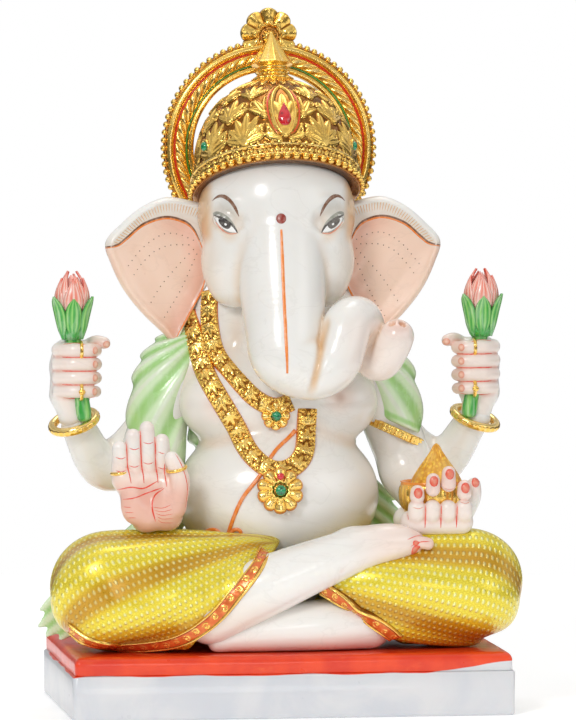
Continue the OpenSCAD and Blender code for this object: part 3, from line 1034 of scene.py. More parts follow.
@dataclass(frozen=True)
class PaintedPlinth:
    """White stone, coloured grey as painted shade, below a hand-painted red seat, parted by a slightly wavy line.

    Attributes:
        name: material name.
        level: height of the paint's edge in metres.
    """

    name: str
    level: float = 0.0188

    def make(self) -> bpy.types.Material:
        """Builds the material.

        Returns:
            The material.
        """
        t = Tree(self.name)
        spot = t.node("SeparateXYZ", {0: t.place()})
        wave = t.math("MULTIPLY", t.math("SUBTRACT", t.noise(30, 2, (1, 1, 0)), 0.5), 0.0032)
        rise = t.step(spot.outputs[0], 0.055, 0.095, 0.0, 0.0040)
        edge = t.math("ADD", t.math("ADD", wave, rise), self.level)
        red = t.step(t.math("SUBTRACT", spot.outputs[2], edge), -0.0001, 0.0002)
        # Painted shade: the white stone is coloured mid grey for its weakly lit faces, with cloudy variation.
        stone = t.mix(t.step(t.noise(26, 5, twist=1.5), 0.3, 0.75), (0.60, 0.62, 0.66), (0.70, 0.70, 0.71))
        coat = t.mix(t.step(t.noise(60, 4, (1, 2.2, 1)), 0.35, 0.7), (0.84, 0.062, 0.008), (0.70, 0.030, 0.005))
        pale = t.step(t.noise(170, 3, (0.5, 1, 1)), 0.62, 0.80, 0.0, 0.35)
        coat = t.mix(pale, coat, (0.90, 0.17, 0.035))
        t.put(Base_Color=t.mix(red, stone, coat),
            Roughness=t.math("ADD", t.math("MULTIPLY", t.noise(140, 3), 0.2), 0.22), Coat_Weight=0.25)
        t.put(Subsurface_Weight=0.05, Subsurface_Scale=0.003,
            Normal=t.bump(t.math("ADD", red, t.math("MULTIPLY", t.noise(700, 3), 0.5)), 0.00008))
        return t.material


@dataclass(frozen=True)
class GoldLeaf:
    """Burnished gold leaf with painted shade in its recesses and a painted highlight on its highest places, with enamel
    where the mesh's mask says.

    Attributes:
        name: material name.
        roughness: base roughness.
        dark: colour of the painted shade in the recesses.
        bright: colour of the high places, painted as lit.
    """

    name: str
    roughness: float = 0.20
    dark: Triple = (0.30, 0.105, 0.010)
    bright: Triple = (1.0, 0.66, 0.16)

    def make(self) -> bpy.types.Material:
        """Builds the material.

        Returns:
            The material.
        """
        t = Tree(self.name)
        high = t.attribute("relief", "Fac")
        mask = t.attribute("mask", "Fac")
        leaf = t.mix(t.step(t.noise(150, 4), 0.35, 0.72, 0.0, 0.45), self.bright, (1.0, 0.52, 0.07))
        # Painted shade and highlight: darker where the relief is low, pale on the highest relief, with noise making the
        # edge uneven.
        relief_shade = t.math("ADD", high, t.math("MULTIPLY", t.math("SUBTRACT", t.noise(420, 3), 0.5), 0.35))
        gold = t.mix(t.step(relief_shade, -0.05, 0.36), self.dark, leaf)
        gold = t.mix(t.step(relief_shade, 0.75, 1.1, 0.0, 0.5), gold, (1.0, 0.86, 0.45))
        rough = t.math("ADD", t.math("MULTIPLY", t.noise(300, 3), 0.22), self.roughness - 0.08)
        t.put(Base_Color=t.mix(mask, gold, t.attribute("paint")), Metallic=t.math("SUBTRACT", 0.94, mask, True),
            Roughness=rough, Coat_Weight=0.15)
        t.put(Normal=t.bump(t.noise(900, 3), 0.00012, 0.7))
        return t.material


@dataclass(frozen=True)
class Brocade:
    """Golden yellow painted cloth with rows of raised dots that follow its folds, the dots brighter where painted light
    falls.

    Attributes:
        name: material name.
        dot: radius of a dot in pattern cells.
    """

    name: str
    dot: float = 0.36

    def make(self) -> bpy.types.Material:
        """Builds the material.

        Returns:
            The material.
        """
        t = Tree(self.name)
        uv = t.node("SeparateXYZ", {0: t.attribute("weave", "Vector")})
        row = t.math("FLOOR", uv.outputs[1])
        shift = t.math("MULTIPLY", t.math("MODULO", t.math("ADD", row, 400.0), 2.0), 0.5)
        u = t.math("SUBTRACT", t.math("FRACT", t.math("ADD", uv.outputs[0], shift)), 0.5)
        v = t.math("SUBTRACT", t.math("FRACT", uv.outputs[1]), 0.5)
        far = t.math("SQRT", t.math("ADD", t.math("MULTIPLY", u, u), t.math("MULTIPLY", v, v)))
        dot = t.step(far, self.dot, self.dot * 0.35)
        shade = t.attribute("shade", "Fac")
        paint = t.attribute("paint")
        # Painted light: the pale dots are brighter where the shade attribute says the cloth is lit.
        lit = t.mix(t.math("MULTIPLY", dot, t.step(shade, 0.1, 0.8, 0.25, 0.85)), paint, (0.93, 0.92, 0.42))
        ring = t.math("MULTIPLY", t.step(far, self.dot * 0.9, self.dot * 1.25), t.step(far, 0.62, 0.48))
        colour = t.mix(t.math("MULTIPLY", ring, 0.30), lit, (0.42, 0.20, 0.0))
        colour = t.mix(t.step(t.noise(70, 4), 0.35, 0.75, 0.0, 0.22), colour, (0.80, 0.52, 0.02))
        rough = t.math("ADD", t.math("MULTIPLY", t.noise(260, 3), 0.2), 0.20)
        t.put(Base_Color=colour, Metallic=0.35, Roughness=rough, Coat_Weight=0.3, Coat_Roughness=0.15)
        t.put(Normal=t.bump(dot, 0.00042, 1.0))
        return t.material


@dataclass(frozen=True)
class Enamel:
    """Brushed enamel paint, coloured by the mesh's paint.

    Attributes:
        name: material name.
        roughness: base roughness.
        mottle: how uneven the paint lies.
    """

    name: str
    roughness: float = 0.32
    mottle: float = 0.16

    def make(self) -> bpy.types.Material:
        """Builds the material.

        Returns:
            The material.
        """
        t = Tree(self.name)
        patch = t.noise(420, 4, twist=0.6)
        colour = t.mix(t.step(patch, 0.35, 0.7, 0.0, self.mottle), t.attribute("paint"), (1.0, 0.92, 0.80))
        rough = t.math("ADD", t.math("MULTIPLY", t.noise(600, 2), 0.2), self.roughness - 0.1)
        t.put(Base_Color=colour, Roughness=rough, Coat_Weight=0.3, Coat_Roughness=0.2,
            Normal=t.bump(patch, 0.00006))
        return t.material


@dataclass(frozen=True)
class Sweet:
    """The glazed, stippled dough of the modak.

    Attributes:
        name: material name.
    """

    name: str

    def make(self) -> bpy.types.Material:
        """Builds the material.

        Returns:
            The material.
        """
        t = Tree(self.name)
        crumb = t.node("TexVoronoi", {"Vector": t.place(), "Scale": 620.0}).outputs[0]
        colour = t.mix(t.step(crumb, 0.15, 0.6), (0.98, 0.60, 0.05), (0.72, 0.30, 0.01))
        colour = t.mix(t.step(t.noise(90, 4), 0.4, 0.7, 0.0, 0.5), colour, (1.0, 0.74, 0.22))
        t.put(Base_Color=t.mix(t.attribute("mask", "Fac"), colour, t.attribute("paint")), Roughness=0.34,
            Metallic=0.25, Coat_Weight=0.25)
        t.put(Normal=t.bump(crumb, -0.0003, 0.8))
        return t.material


@dataclass(frozen=True)
class Gem:
    """Cut glass with cloudy depths.

    Attributes:
        name: material name.
        deep: colour of the depths.
        bright: colour of the lit places.
    """

    name: str
    deep: Triple
    bright: Triple

    def make(self) -> bpy.types.Material:
        """Builds the material.

        Returns:
            The material.
        """
        t = Tree(self.name)
        facet = t.node("TexVoronoi", {"Vector": t.place(), "Scale": 520.0}, feature="F1").outputs[0]
        colour = t.mix(t.step(t.math("ADD", facet, t.math("MULTIPLY", t.noise(300, 2), 0.3)), 0.1, 0.8),
            self.deep, self.bright)
        t.put(Base_Color=colour, Roughness=0.06, Coat_Weight=1.0, Coat_Roughness=0.03, Transmission_Weight=0.15,
            IOR=1.55)
        t.put(Normal=t.bump(facet, 0.0002, 0.5))
        return t.material


@dataclass(frozen=True)
class Steel:
    """Turned steel of the hidden dowels.

    Attributes:
        name: material name.
    """

    name: str

    def make(self) -> bpy.types.Material:
        """Builds the material.

        Returns:
            The material.
        """
        t = Tree(self.name)
        turned = t.noise(1400, 3, (0.2, 0.2, 3))
        t.put(Base_Color=t.mix(turned, (0.42, 0.43, 0.45), (0.62, 0.63, 0.65)), Metallic=1.0)
        t.put(Roughness=t.math("ADD", t.math("MULTIPLY", turned, 0.25), 0.25), Normal=t.bump(turned, 0.00005))
        return t.material


# ---------------------------------------------------------------- workshop


class Ground:
    """Finished skins on which paint and jewellery are laid."""

    def __init__(self, skins: Sequence[Skin]) -> None:
        """Takes the skins.

        Args:
            skins: one or more.
        """
        whole = joined([Skin(s.v, s.quads, s.tris) for s in skins])
        faces = whole.quads.tolist() + whole.tris.tolist()
        self.tree = BVHTree.FromPolygons(whole.v.tolist(), faces)

    def hit(self, spot: Array, away: Array) -> tuple[Array, Array] | None:
        """Where a ray from outside meets the ground.

        Args:
            spot: a point near the ground.
            away: the direction to look from.

        Returns:
            The place and the outward normal, or None.
        """
        start = Vector(spot + away * 90)
        place, normal, _, _ = self.tree.ray_cast(start, Vector(-away))
        if place is None:
            return None
        n = np.array(normal)
        return np.array(place), n if n @ away > 0 else -n

    def drop(self, points: Array, away: Sequence[float] = (0, -1, 0), lift: float = 0.0) -> tuple[Array, Array]:
        """Lays points on the ground; a missed point takes its neighbour's depth.

        Args:
            points: the points.
            away: the direction to look from.
            lift: distance off the ground.

        Returns:
            Places and normals.
        """
        a = unit(np.array(away, float))
        found = [self.hit(p, a) for p in points]
        good = [k for k, f in enumerate(found) if f is not None]
        if not good:
            return points.copy(), np.tile(a, (len(points), 1))
        place, normal = np.zeros((len(points), 3)), np.zeros((len(points), 3))
        for k, p in enumerate(points):
            near = min(good, key=lambda g: abs(g - k))
            at, n = found[near]
            place[k] = at if near == k else p + a * ((at - p) @ a)
            normal[k] = n
        return place + normal * lift, normal


class Brush:
    """Lays thin raised strokes and patches of paint on the ground."""

    def __init__(self) -> None:
        """Starts with nothing painted."""
        self.parts: list[Skin] = []

    def stroke(
        self,
        ground: Ground,
        points: Sequence[Sequence[float]],
        tone: Tone,
        width: float = 0.4,
        away: Sequence[float] = (0, -1, 0),
        ends: float = 0.3,
        lift: float = 0.10,
        gap: float = 0.9,
    ) -> None:
        """One stroke.

        Args:
            ground: what it lies on.
            points: x, z pairs seen from the front, or x, y, z points.
            tone: its colour.
            width: half width in the middle.
            away: the direction to look from.
            ends: width left at the ends, as a share.
            lift: thickness.
            gap: distance between samples.
        """
        p = np.array(points, float)
        if p.shape[1] == 2:
            p = np.stack([p[:, 0], np.full(len(p), -20.0), p[:, 1]], 1)
        path = even(spline(p, 8), gap)
        a = unit(np.array(away, float))
        found = [ground.hit(q, a) for q in path]
        run: list[tuple[Array, Array]] = []
        for hit in found + [None]:
            if hit is not None and (not run or np.linalg.norm(hit[0] - run[-1][0]) < 3.2 * gap):
                run.append(hit)
                continue
            if len(run) > 2:
                self._lay(np.array([r[0] for r in run]), np.array([r[1] for r in run]), tone, width, ends, lift)
            run = [hit] if hit is not None else []

    def _lay(self, path: Array, normal: Array, tone: Tone, width: float, ends: float, lift: float) -> None:
        """Lays one stroke, a thin raised strip five points wide.

        Args:
            path: points along it.
            normal: surface normal at each point.
            tone: its colour.
            width: half its width, mm.
            ends: width at the ends, as a share.
            lift: its height, mm.
        """
        k = len(path)
        soften = np.vstack([normal[:1], (normal[:-2] + 2 * normal[1:-1] + normal[2:]) / 4, normal[-1:]])
        _, side, up = frames(path, unit(soften))
        t = np.linspace(0, 1, k)
        w = width * (ends + (1 - ends) * np.minimum(1, np.sin(np.pi * t) * 1.8))
        across, above = np.array([-1, -0.55, 0, 0.55, 1]), np.array([-0.25, 0.8, 1, 0.8, -0.25])
        rings = (
            path[:, None] + side[:, None] * (w[:, None] * across)[..., None] + up[:, None]
            * (lift * above)[None, :, None]
        )
        i, j = np.arange(k - 1)[:, None] * 5, np.arange(4)[None, :]
        quads = np.stack([i + j, i + j + 1, i + j + 6, i + j + 5], -1).reshape(-1, 4)
        skin = Skin(rings.reshape(-1, 3), quads)
        if (skin.normals().reshape(k, 5, 3)[:, 2] * up).sum() < 0:
            skin.quads = quads[:, ::-1]
        skin.paint = np.tile(tone.linear, (len(skin.v), 1))
        self.parts.append(skin)

    def patch(
        self,
        ground: Ground,
        outline: Sequence[Sequence[float]],
        tone: Tone,
        away: Sequence[float] = (0, -1, 0),
        lift: float = 0.12,
        dome: float = 0.0,
        inner: Tone | None = None,
    ) -> None:
        """A filled shape.

        Args:
            ground: what it lies on.
            outline: x, z pairs or x, y, z points round it.
            tone: its colour at the edge.
            away: the direction to look from.
            lift: thickness.
            dome: extra height in the middle.
            inner: its colour in the middle.
        """
        p = np.array(outline, float)
        if p.shape[1] == 2:
            p = np.stack([p[:, 0], np.full(len(p), -20.0), p[:, 1]], 1)
        edge = spline(p, 6, True)[:-1]
        centre = edge.mean(0)
        share = np.array([1.0, 0.96, 0.75, 0.5, 0.25])
        rings = centre + (edge - centre)[None] * share[:, None, None]
        flat = np.vstack([rings.reshape(-1, 3), centre])
        spot, normal = ground.drop(flat, away)
        s = np.r_[np.repeat(share, len(edge)), 0.0]
        height = np.where(s >= 1, -0.05, lift + dome * (1 - s**2))
        v = spot + normal * height[:, None]
        m, n = len(share), len(edge)
        i, j = np.arange(m - 1)[:, None] * n, np.arange(n)[None, :]
        quads = np.stack([i + j, i + (j + 1) % n, i + n + (j + 1) % n, i + n + j], -1).reshape(-1, 4)
        k = np.arange(n)
        tris = np.stack([(m - 1) * n + k, (m - 1) * n + (k + 1) % n, np.full(n, m * n)], 1)
        skin = Skin(v, quads, tris)
        if (skin.normals() * normal).sum() < 0:
            skin = Skin(v, quads[:, ::-1], tris[:, ::-1])
        skin.paint = blend(np.tile(tone.linear, (len(v), 1)), inner or tone, 1 - s)
        self.parts.append(skin)

    def dots(self, ground: Ground, points: Array, tone: Tone, radius: float,
            away: Sequence[float] = (0, -1, 0)) -> None:
        """A row of small dots.

        Args:
            ground: what they lie on.
            points: x, z pairs.
            tone: their colour.
            radius: radius of each.
            away: the direction to look from.
        """
        p = np.stack([points[:, 0], np.full(len(points), -20.0), points[:, 1]], 1)
        spot, _ = ground.drop(p, away)
        for s in spot:
            skin = ball(s, (radius, radius * 0.5, radius), 6)
            skin.paint = np.tile(tone.linear, (len(skin.v), 1))
            self.parts.append(skin)


class Workshop:
    """Keeps the finishes and writes skins as pieces of the model."""

    def __init__(self, frame: dict) -> None:
        """Makes every finish.
        """
        self.frame = frame
        makers = (
            PaintedStone("marble"),
            PaintedStone("blushed_marble", 0.30, 0.25, 0.18),
            PaintedStone("painted_cloth", 0.26, 0.3, 0.05, 0.10),
            PaintedStone("petal_paint", 0.30, 0.3, 0.05, 0.22),
            PaintedPlinth("painted_plinth"),
            GoldLeaf("gold_leaf"),
            Brocade("brocade"),
            Enamel("enamel"),
            Sweet("modak_glaze"),
            Gem("green_glass", (0.0, 0.05, 0.02), (0.01, 0.36, 0.14)),
            Gem("red_glass", (0.25, 0.0, 0.004), (0.80, 0.02, 0.03)),
            Steel("dowel_steel"),
        )
        self.finishes = {m.name: m.make() for m in makers}
        self.skins: dict[str, Skin] = {}
        self.brush = Brush()

    def place(self, name: str, skin: Skin, finish: str, slot: str, *nodes: str) -> bpy.types.Object:
        """Writes a skin as a piece.

        Args:
            name: the piece's name.
            skin: its skin in seat millimetres.
            finish: its finish's name.
            slot: the record's material slot; not used.
            nodes: the construction nodes it stands for.

        Returns:
            The object.
        """
        self.skins[name] = skin
        mesh = bpy.data.meshes.new(name)
        v = (skin.v + np.array([0, 0, SEAT])) * MM
        corners = np.concatenate([skin.quads.ravel(), skin.tris.ravel()]).astype(np.int32)
        starts = np.r_[np.arange(len(skin.quads)) * 4,
            len(skin.quads) * 4 + np.arange(len(skin.tris)) * 3].astype(np.int32)
        mesh.vertices.add(len(v))
        mesh.vertices.foreach_set("co", v.astype(np.float32).ravel())
        mesh.loops.add(len(corners))
        mesh.loops.foreach_set("vertex_index", corners)
        mesh.polygons.add(len(starts))
        mesh.polygons.foreach_set("loop_start", starts)
        mesh.update(calc_edges=True)
        mesh.polygons.foreach_set("use_smooth", np.ones(len(starts), bool))
        paint = skin.paint if skin.paint is not None else np.tile(Tone.MARBLE.linear, (len(v), 1))
        layer = mesh.color_attributes.new("paint", "FLOAT_COLOR", "POINT")
        layer.data.foreach_set("color", np.hstack([np.clip(paint, 0, 1),
            np.ones((len(v), 1))]).astype(np.float32).ravel())
        numbers = {"mask": skin.mask if skin.mask is not None else np.zeros(len(v)), **skin.extra}
        for key, values in numbers.items():
            if values.ndim == 1:
                mesh.attributes.new(key, "FLOAT", "POINT").data.foreach_set("value", values.astype(np.float32))
            else:
                mesh.attributes.new(key, "FLOAT_VECTOR", "POINT").data.foreach_set("vector",
                    values.astype(np.float32).ravel())
        mesh.materials.append(self.finishes[finish])
        piece = bpy.data.objects.new(name, mesh)
        bpy.context.scene.collection.objects.link(piece)
        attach(piece, "root")
        if nodes:
            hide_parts(*nodes)
        LOG.info("%s: %d faces", name, len(starts))
        return piece

    def dress(self, node: str, finish: str) -> None:
        """Gives a construction node that stays its finish.

        Args:
            node: the node.
            finish: the finish's name.
        """
        piece = self.frame["nodes"][node]
        for slot in piece.material_slots:
            slot.material = self.finishes[finish]

    def ground(self, *names: str) -> Ground:
        """The ground made by named pieces.

        Args:
            names: pieces already placed.
        """
        return Ground([self.skins[n] for n in names])


# ---------------------------------------------------------------- figure


def shade_creases(skin: Skin, amount: float = 0.55, rounds: int = 6, tone: Tone = Tone.OCHRE) -> Skin:
    """Tints creases with painted shade, darker the deeper the crease.

    Args:
        skin: the skin.
        amount: strength.
        rounds: spread.
        tone: the colour of the painted shade.

    Returns:
        The same skin.
    """
    # Painted shade: hollows are tinted towards the tone by their depth.
    skin.paint = blend(skin.paint, tone, skin.creases(rounds) * amount)
    return skin


def spot(skin: Skin, centre: Sequence[float], radius: float, tone: Tone, amount: float) -> Skin:
    """Tints a soft round spot.

    Args:
        skin: the skin.
        centre: its middle.
        radius: its reach.
        tone: the colour.
        amount: strength in the middle.

    Returns:
        The same skin.
    """
    d = np.linalg.norm(skin.v - np.array(centre), axis=1)
    skin.paint = blend(skin.paint, tone, amount * soft(d, radius, 0))
    return skin


@dataclass
class Torso:
    """Chest, belly, shoulders and the hidden hips.

    Attributes:
        step: grid spacing.
    """

    step: float = 1.0

    def build(self, shop: Workshop) -> None:
        """Makes the piece.

        Args:
            shop: the workshop.
        """
        clay = Clay((-62, -46, -6), (62, 46, 152), self.step)
        clay.add(Lump((0, 7, 24), (50, 32, 29)), 4).add(Lump((0, -4, 64), (44, 32.5, 33)), 8)
        clay.add(Lump((0, 1, 105), (41, 25, 25)), 9)
        for s in SIDES:
            clay.add(Lump((s * 26, -9, 104), (17, 13.6, 15)), 6)
            clay.add(Limb(mirrored(((0, 3, 120, 14.5), (22, 5, 120, 14), (42, 6, 117, 12.5),
                (40, 8, 108, 11.5)), s)), 6)
        clay.add(Limb(((0, 3, 112, 20), (0, 3, 128, 20.5), (0, 2, 142, 19.5))), 5)
        for s in SIDES:
            clay.add(Limb(mirrored(((31, 7, 116, 13), (27.5, 5, 130, 12.5), (23, 3, 144, 12)), s)), 6)
        for crease in (
            ((-44, -14, 92), (-37, -22, 87), (-29, -29, 88), (-20, -33, 92)),
            ((16, -33, 93), (24, -31, 92), (33, -26, 95), (41, -16, 99)),
            ((-38, -20, 42), (-20, -30, 37), (0, -33, 36), (20, -30, 38), (38, -20, 42)),
            ((0, -27, 96), (1, -26, 104), (0, -23, 112)),
        ):
            clay.score(crease, 1.9, 0.75)
        clay.score(((0, -36, 60), (0.5, -36.5, 60)), 1.7, 1.3)
        # Painted shade in the creases.
        skin = shade_creases(clay.skin(), 0.75, 7)
        # Ochre painted shade where the body turns away at its sides.
        side = soft(np.abs(skin.v[:, 0]), 26, 46) * soft(skin.v[:, 2], 30, 80)
        skin.paint = blend(skin.paint, Tone.OCHRE, 0.16 * side)
        for x, z in ((-28, 104), (24.6, 107)):
            spot(skin, (x, -22, z), 3.6, Tone.BROWN, 0.55)
            spot(skin, (x, -22, z), 11, Tone.BLUSH, 0.45)
        # Ochre painted shade on the lower flanks.
        spot(skin, (-40, -10, 40), 26, Tone.OCHRE, 0.3)
        spot(skin, (40, -10, 40), 26, Tone.OCHRE, 0.3)
        shop.place("torso_form", skin, "marble", "marble", "torso")


@dataclass
class HeadAndTrunk:
    """The elephant head and its curled trunk, with brows, bindi, tilak and eyes painted on.

    Attributes:
        step: grid spacing.
        swing: degrees that the face is turned towards the idol's right.
    """

    step: float = 0.8
    swing: float = -5.0

    def build(self, shop: Workshop) -> None:
        """Makes the pieces.

        Args:
            shop: the workshop.
        """
        skin = self._sculpt()
        self._tint(skin)
        own = Brush()
        self._face(Ground([skin]), own)
        swing = turn(0, 0, self.swing)
        shop.brush.parts += [part.moved(swing) for part in own.parts]
        shop.place("head_and_trunk", skin.moved(swing), "marble", "marble", "head", "trunk")

    def _sculpt(self) -> Skin:
        """Models head, cheeks, eye sockets and trunk, cut off under the crown.

        Returns:
            The skin.
        """
        clay = Clay((-38, -60, 104), (62, 34, 217), self.step)
        clay.add(Lump((0, -4, 189), (32.6, 30.6, 31), (-26, 0, 0)), 0)
        clay.add(Lump((0, -3, 184), (33.6, 28.6, 24)), 4).add(Lump((0, 2, 168), (31, 25, 26)), 6)
        for s in SIDES:
            cheek = ((15, -12, 190, 15), (14, -15, 178, 16), (19, -15, 166, 14), (18, -14, 156, 12))
            clay.add(Limb(mirrored(cheek, s)), 5)
        clay.add(Limb(((0, -16, 190, 14), (0, -10, 160, 17), (0, -2, 152, 17), (0, 0, 146, 17))), 5)
        trunk = (
            (1, -14, 186, 20), (1, -21, 169, 19.3), (1.5, -27, 153, 18.4), (2, -32, 138, 17),
            (3, -37, 126, 15.3),
            (13, -41, 120.0, 12.6), (22, -41.5, 122.8, 11.3), (26.0, -40, 131, 10.7), (29, -37, 139.5, 10.4),
            (34.5, -30, 141, 9.4), (38, -26, 132, 8.6), (40, -27, 124, 8.1), (44, -30, 123, 7.9),
            (48, -33, 130, 7.9), (50, -34, 134, 7.4),
        )
        clay.add(Limb(trunk, 6), 2.2)
        for s in SIDES:
            clay.cut(Lump((s * 22.4, -31.5, 184), (7.5, 4.0, 5.0), (0, 0, s * 14)), 3.0)
            clay.add(Lump((s * 22.0, -24.2, 184), (6.4, 4.6, 4.2), (0, s * 10, 0)), 1.2)
            clay.score(((s * 15, -28, 190), (s * 22, -28, 193), (s * 30, -20, 189)), 1.8, -0.7)
            clay.score(((s * 14.5, -30, 181), (s * 21, -29, 178.5), (s * 28.5, -23, 182)), 1.2, 0.5)

        def furrow(p: Array, f: Array) -> Array:
            """A shallow crease where the trunk turns back on itself.

            Args:
                p: grid points.
                f: the field there.

            Returns:
                The new field.
            """
            t = np.clip((141 - p[..., 2]) / 32, 0, 1)
            off = p[..., 0] - (19.5 - 7.5 * t)
            depth = 2.3 * soft(p[..., 2], 107, 117) * soft(p[..., 2], 144, 138) * soft(p[..., 1], -38, -44)
            return f + depth * np.exp(-((off / 1.7) ** 2))

        clay.alter(furrow)
        clay.score(((34, -44, 139), (33, -37, 130), (32, -35, 122)), 1.4, 0.6)
        for x, z in ((47.6, 140), (52.0, 139)):
            clay.cut(Lump((x, -37, z), (1.5, 1.9, 1.9)), 0.8)
        clay.keep((0, math.sin(math.radians(26)), math.cos(math.radians(26))), (0, -2, 196.5), 0.6)
        clay.keep((0, 1, 0), (0, 25.0, 0), 3.0)
        return clay.skin()

    def _tint(self, skin: Skin) -> None:
        """Paints shade into creases, cheeks, lids and the groove under each eye, and tints temples and trunk.

        Args:
            skin: the head's skin.
        """
        # Painted shade in the creases.
        shade_creases(skin, 0.8, 6)
        x, y, z = skin.v.T
        # Ochre at the temples for the painted hair, with darker amber further round the side as painted shade.
        temple = soft(np.abs(x), 27.0, 31.0) * soft(z, 172, 178) * soft(y, 12, 4)
        skin.paint = blend(skin.paint, Tone.OCHRE, 0.75 * temple * soft(z, 205, 196))
        skin.paint = blend(skin.paint, Tone.AMBER, 0.22 * temple * soft(np.abs(x), 30, 33.5))
        # Ochre painted shade on the cheeks.
        cheek = soft(np.abs(x), 17, 31) * soft(z, 186, 168) * soft(y, -32, -24) * soft(z, 142, 152)
        skin.paint = blend(skin.paint, Tone.OCHRE, 0.22 * cheek)
        curl = soft(x, 20, 36) * soft(z, 152, 136)
        # Ochre painted shade along the crease where the trunk turns back.
        line = (
            np.exp(-(((x - 19.5 + 7.5 * np.clip((141 - z) / 32, 0, 1)) / 1.5) ** 2))
            * soft(z, 108, 118) * soft(z, 146, 138) * soft(y, -38, -44)
        )
        skin.paint = blend(skin.paint, Tone.OCHRE, 0.6 * line)
        skin.paint = blend(skin.paint, Tone.BLUSH, 0.28 * curl)
        spot(skin, (50, -38, 139), 9, Tone.ROSE, 0.35)
        for s in SIDES:
            # Grey painted shade on the lids under the brow, and ochre painted shade in the groove under each eye.
            spot(skin, (s * 22, -27, 188), 8, Tone.LID_SHADE, 0.34)
            spot(skin, (s * 21, -29, 178), 6, Tone.OCHRE, 0.40)

    def _face(self, skin: Ground, brush: Brush) -> None:
        """Paints the mark, the line down the trunk and both eyes.

        Args:
            skin: the surface they are laid on.
            brush: the brush.
        """
        brush.patch(skin, [(0.4 + 2.2 * math.cos(a), 184.6 + 2.2 * math.sin(a))
            for a in np.linspace(0, 5.6, 9)], Tone.MAROON, dome=0.5)
        brush.stroke(skin, [(0.4, 180), (0.7, 165), (1.2, 148), (1.9, 130), (2.2, 119.5)], Tone.ORANGE, 0.75,
            ends=0.7, lift=0.16)
        for s in SIDES:
            self._eye(skin, brush, s)

    def _eye(self, skin: Ground, brush: Brush, s: int) -> None:
        """Paints one eye with its lids and brow.

        Args:
            skin: the surface they are laid on.
            brush: the brush.
            s: -1 for the idol's right, 1 for its left.
        """

        def at(*points: tuple[float, float]) -> list[tuple[float, float]]:
            """The points, mirrored to the eye's side."""
            return [(s * x, z) for x, z in points]

        # Grey painted shade under the upper lid.
        brush.patch(skin, at((18.2, 178.8), (19.4, 182.0), (21.6, 184.8), (24.4, 186.8), (26.8, 187.3),
            (28.2, 186.2), (27.4, 183.4), (25.0, 180.6), (22.0, 178.3)), Tone.LID_SHADE, lift=0.05)
        brush.patch(skin, at((18.2, 178.6), (20.0, 180.8), (22.4, 182.6), (25.0, 184.0), (27.2, 184.5),
            (26.6, 182.6), (24.4, 180.2), (21.4, 178.6)), Tone.WHITE, lift=0.12)
        brush.patch(skin, at((20.6, 181.2), (22.6, 182.9), (25.0, 184.2), (26.0, 183.9), (25.4, 182.2),
            (23.6, 180.4), (21.8, 179.8)), Tone.INK, lift=0.20, inner=Tone.INK)
        # A white painted highlight in the iris.
        brush.patch(skin, at((22.4, 182.0), (23.2, 182.5), (23.5, 181.9), (22.8, 181.4)), Tone.WHITE, lift=0.30)
        brush.stroke(skin, at((17.9, 178.2), (19.7, 181.0), (22.2, 183.2), (25.0, 184.7), (27.8, 185.6)),
            Tone.INK, 0.55, ends=0.3, lift=0.24)
        brush.stroke(skin, at((18.2, 178.1), (21.4, 177.9), (24.6, 179.6), (27.2, 182.8)), Tone.ROSE, 0.35,
            ends=0.35, lift=0.2)
        brush.stroke(skin, at((17.3, 185.2), (19.2, 189.4), (21.8, 192.6), (24.5, 193.9), (26.8, 193.2),
            (28.4, 191.6)), Tone.BROWN, 0.85, ends=0.12, lift=0.14)


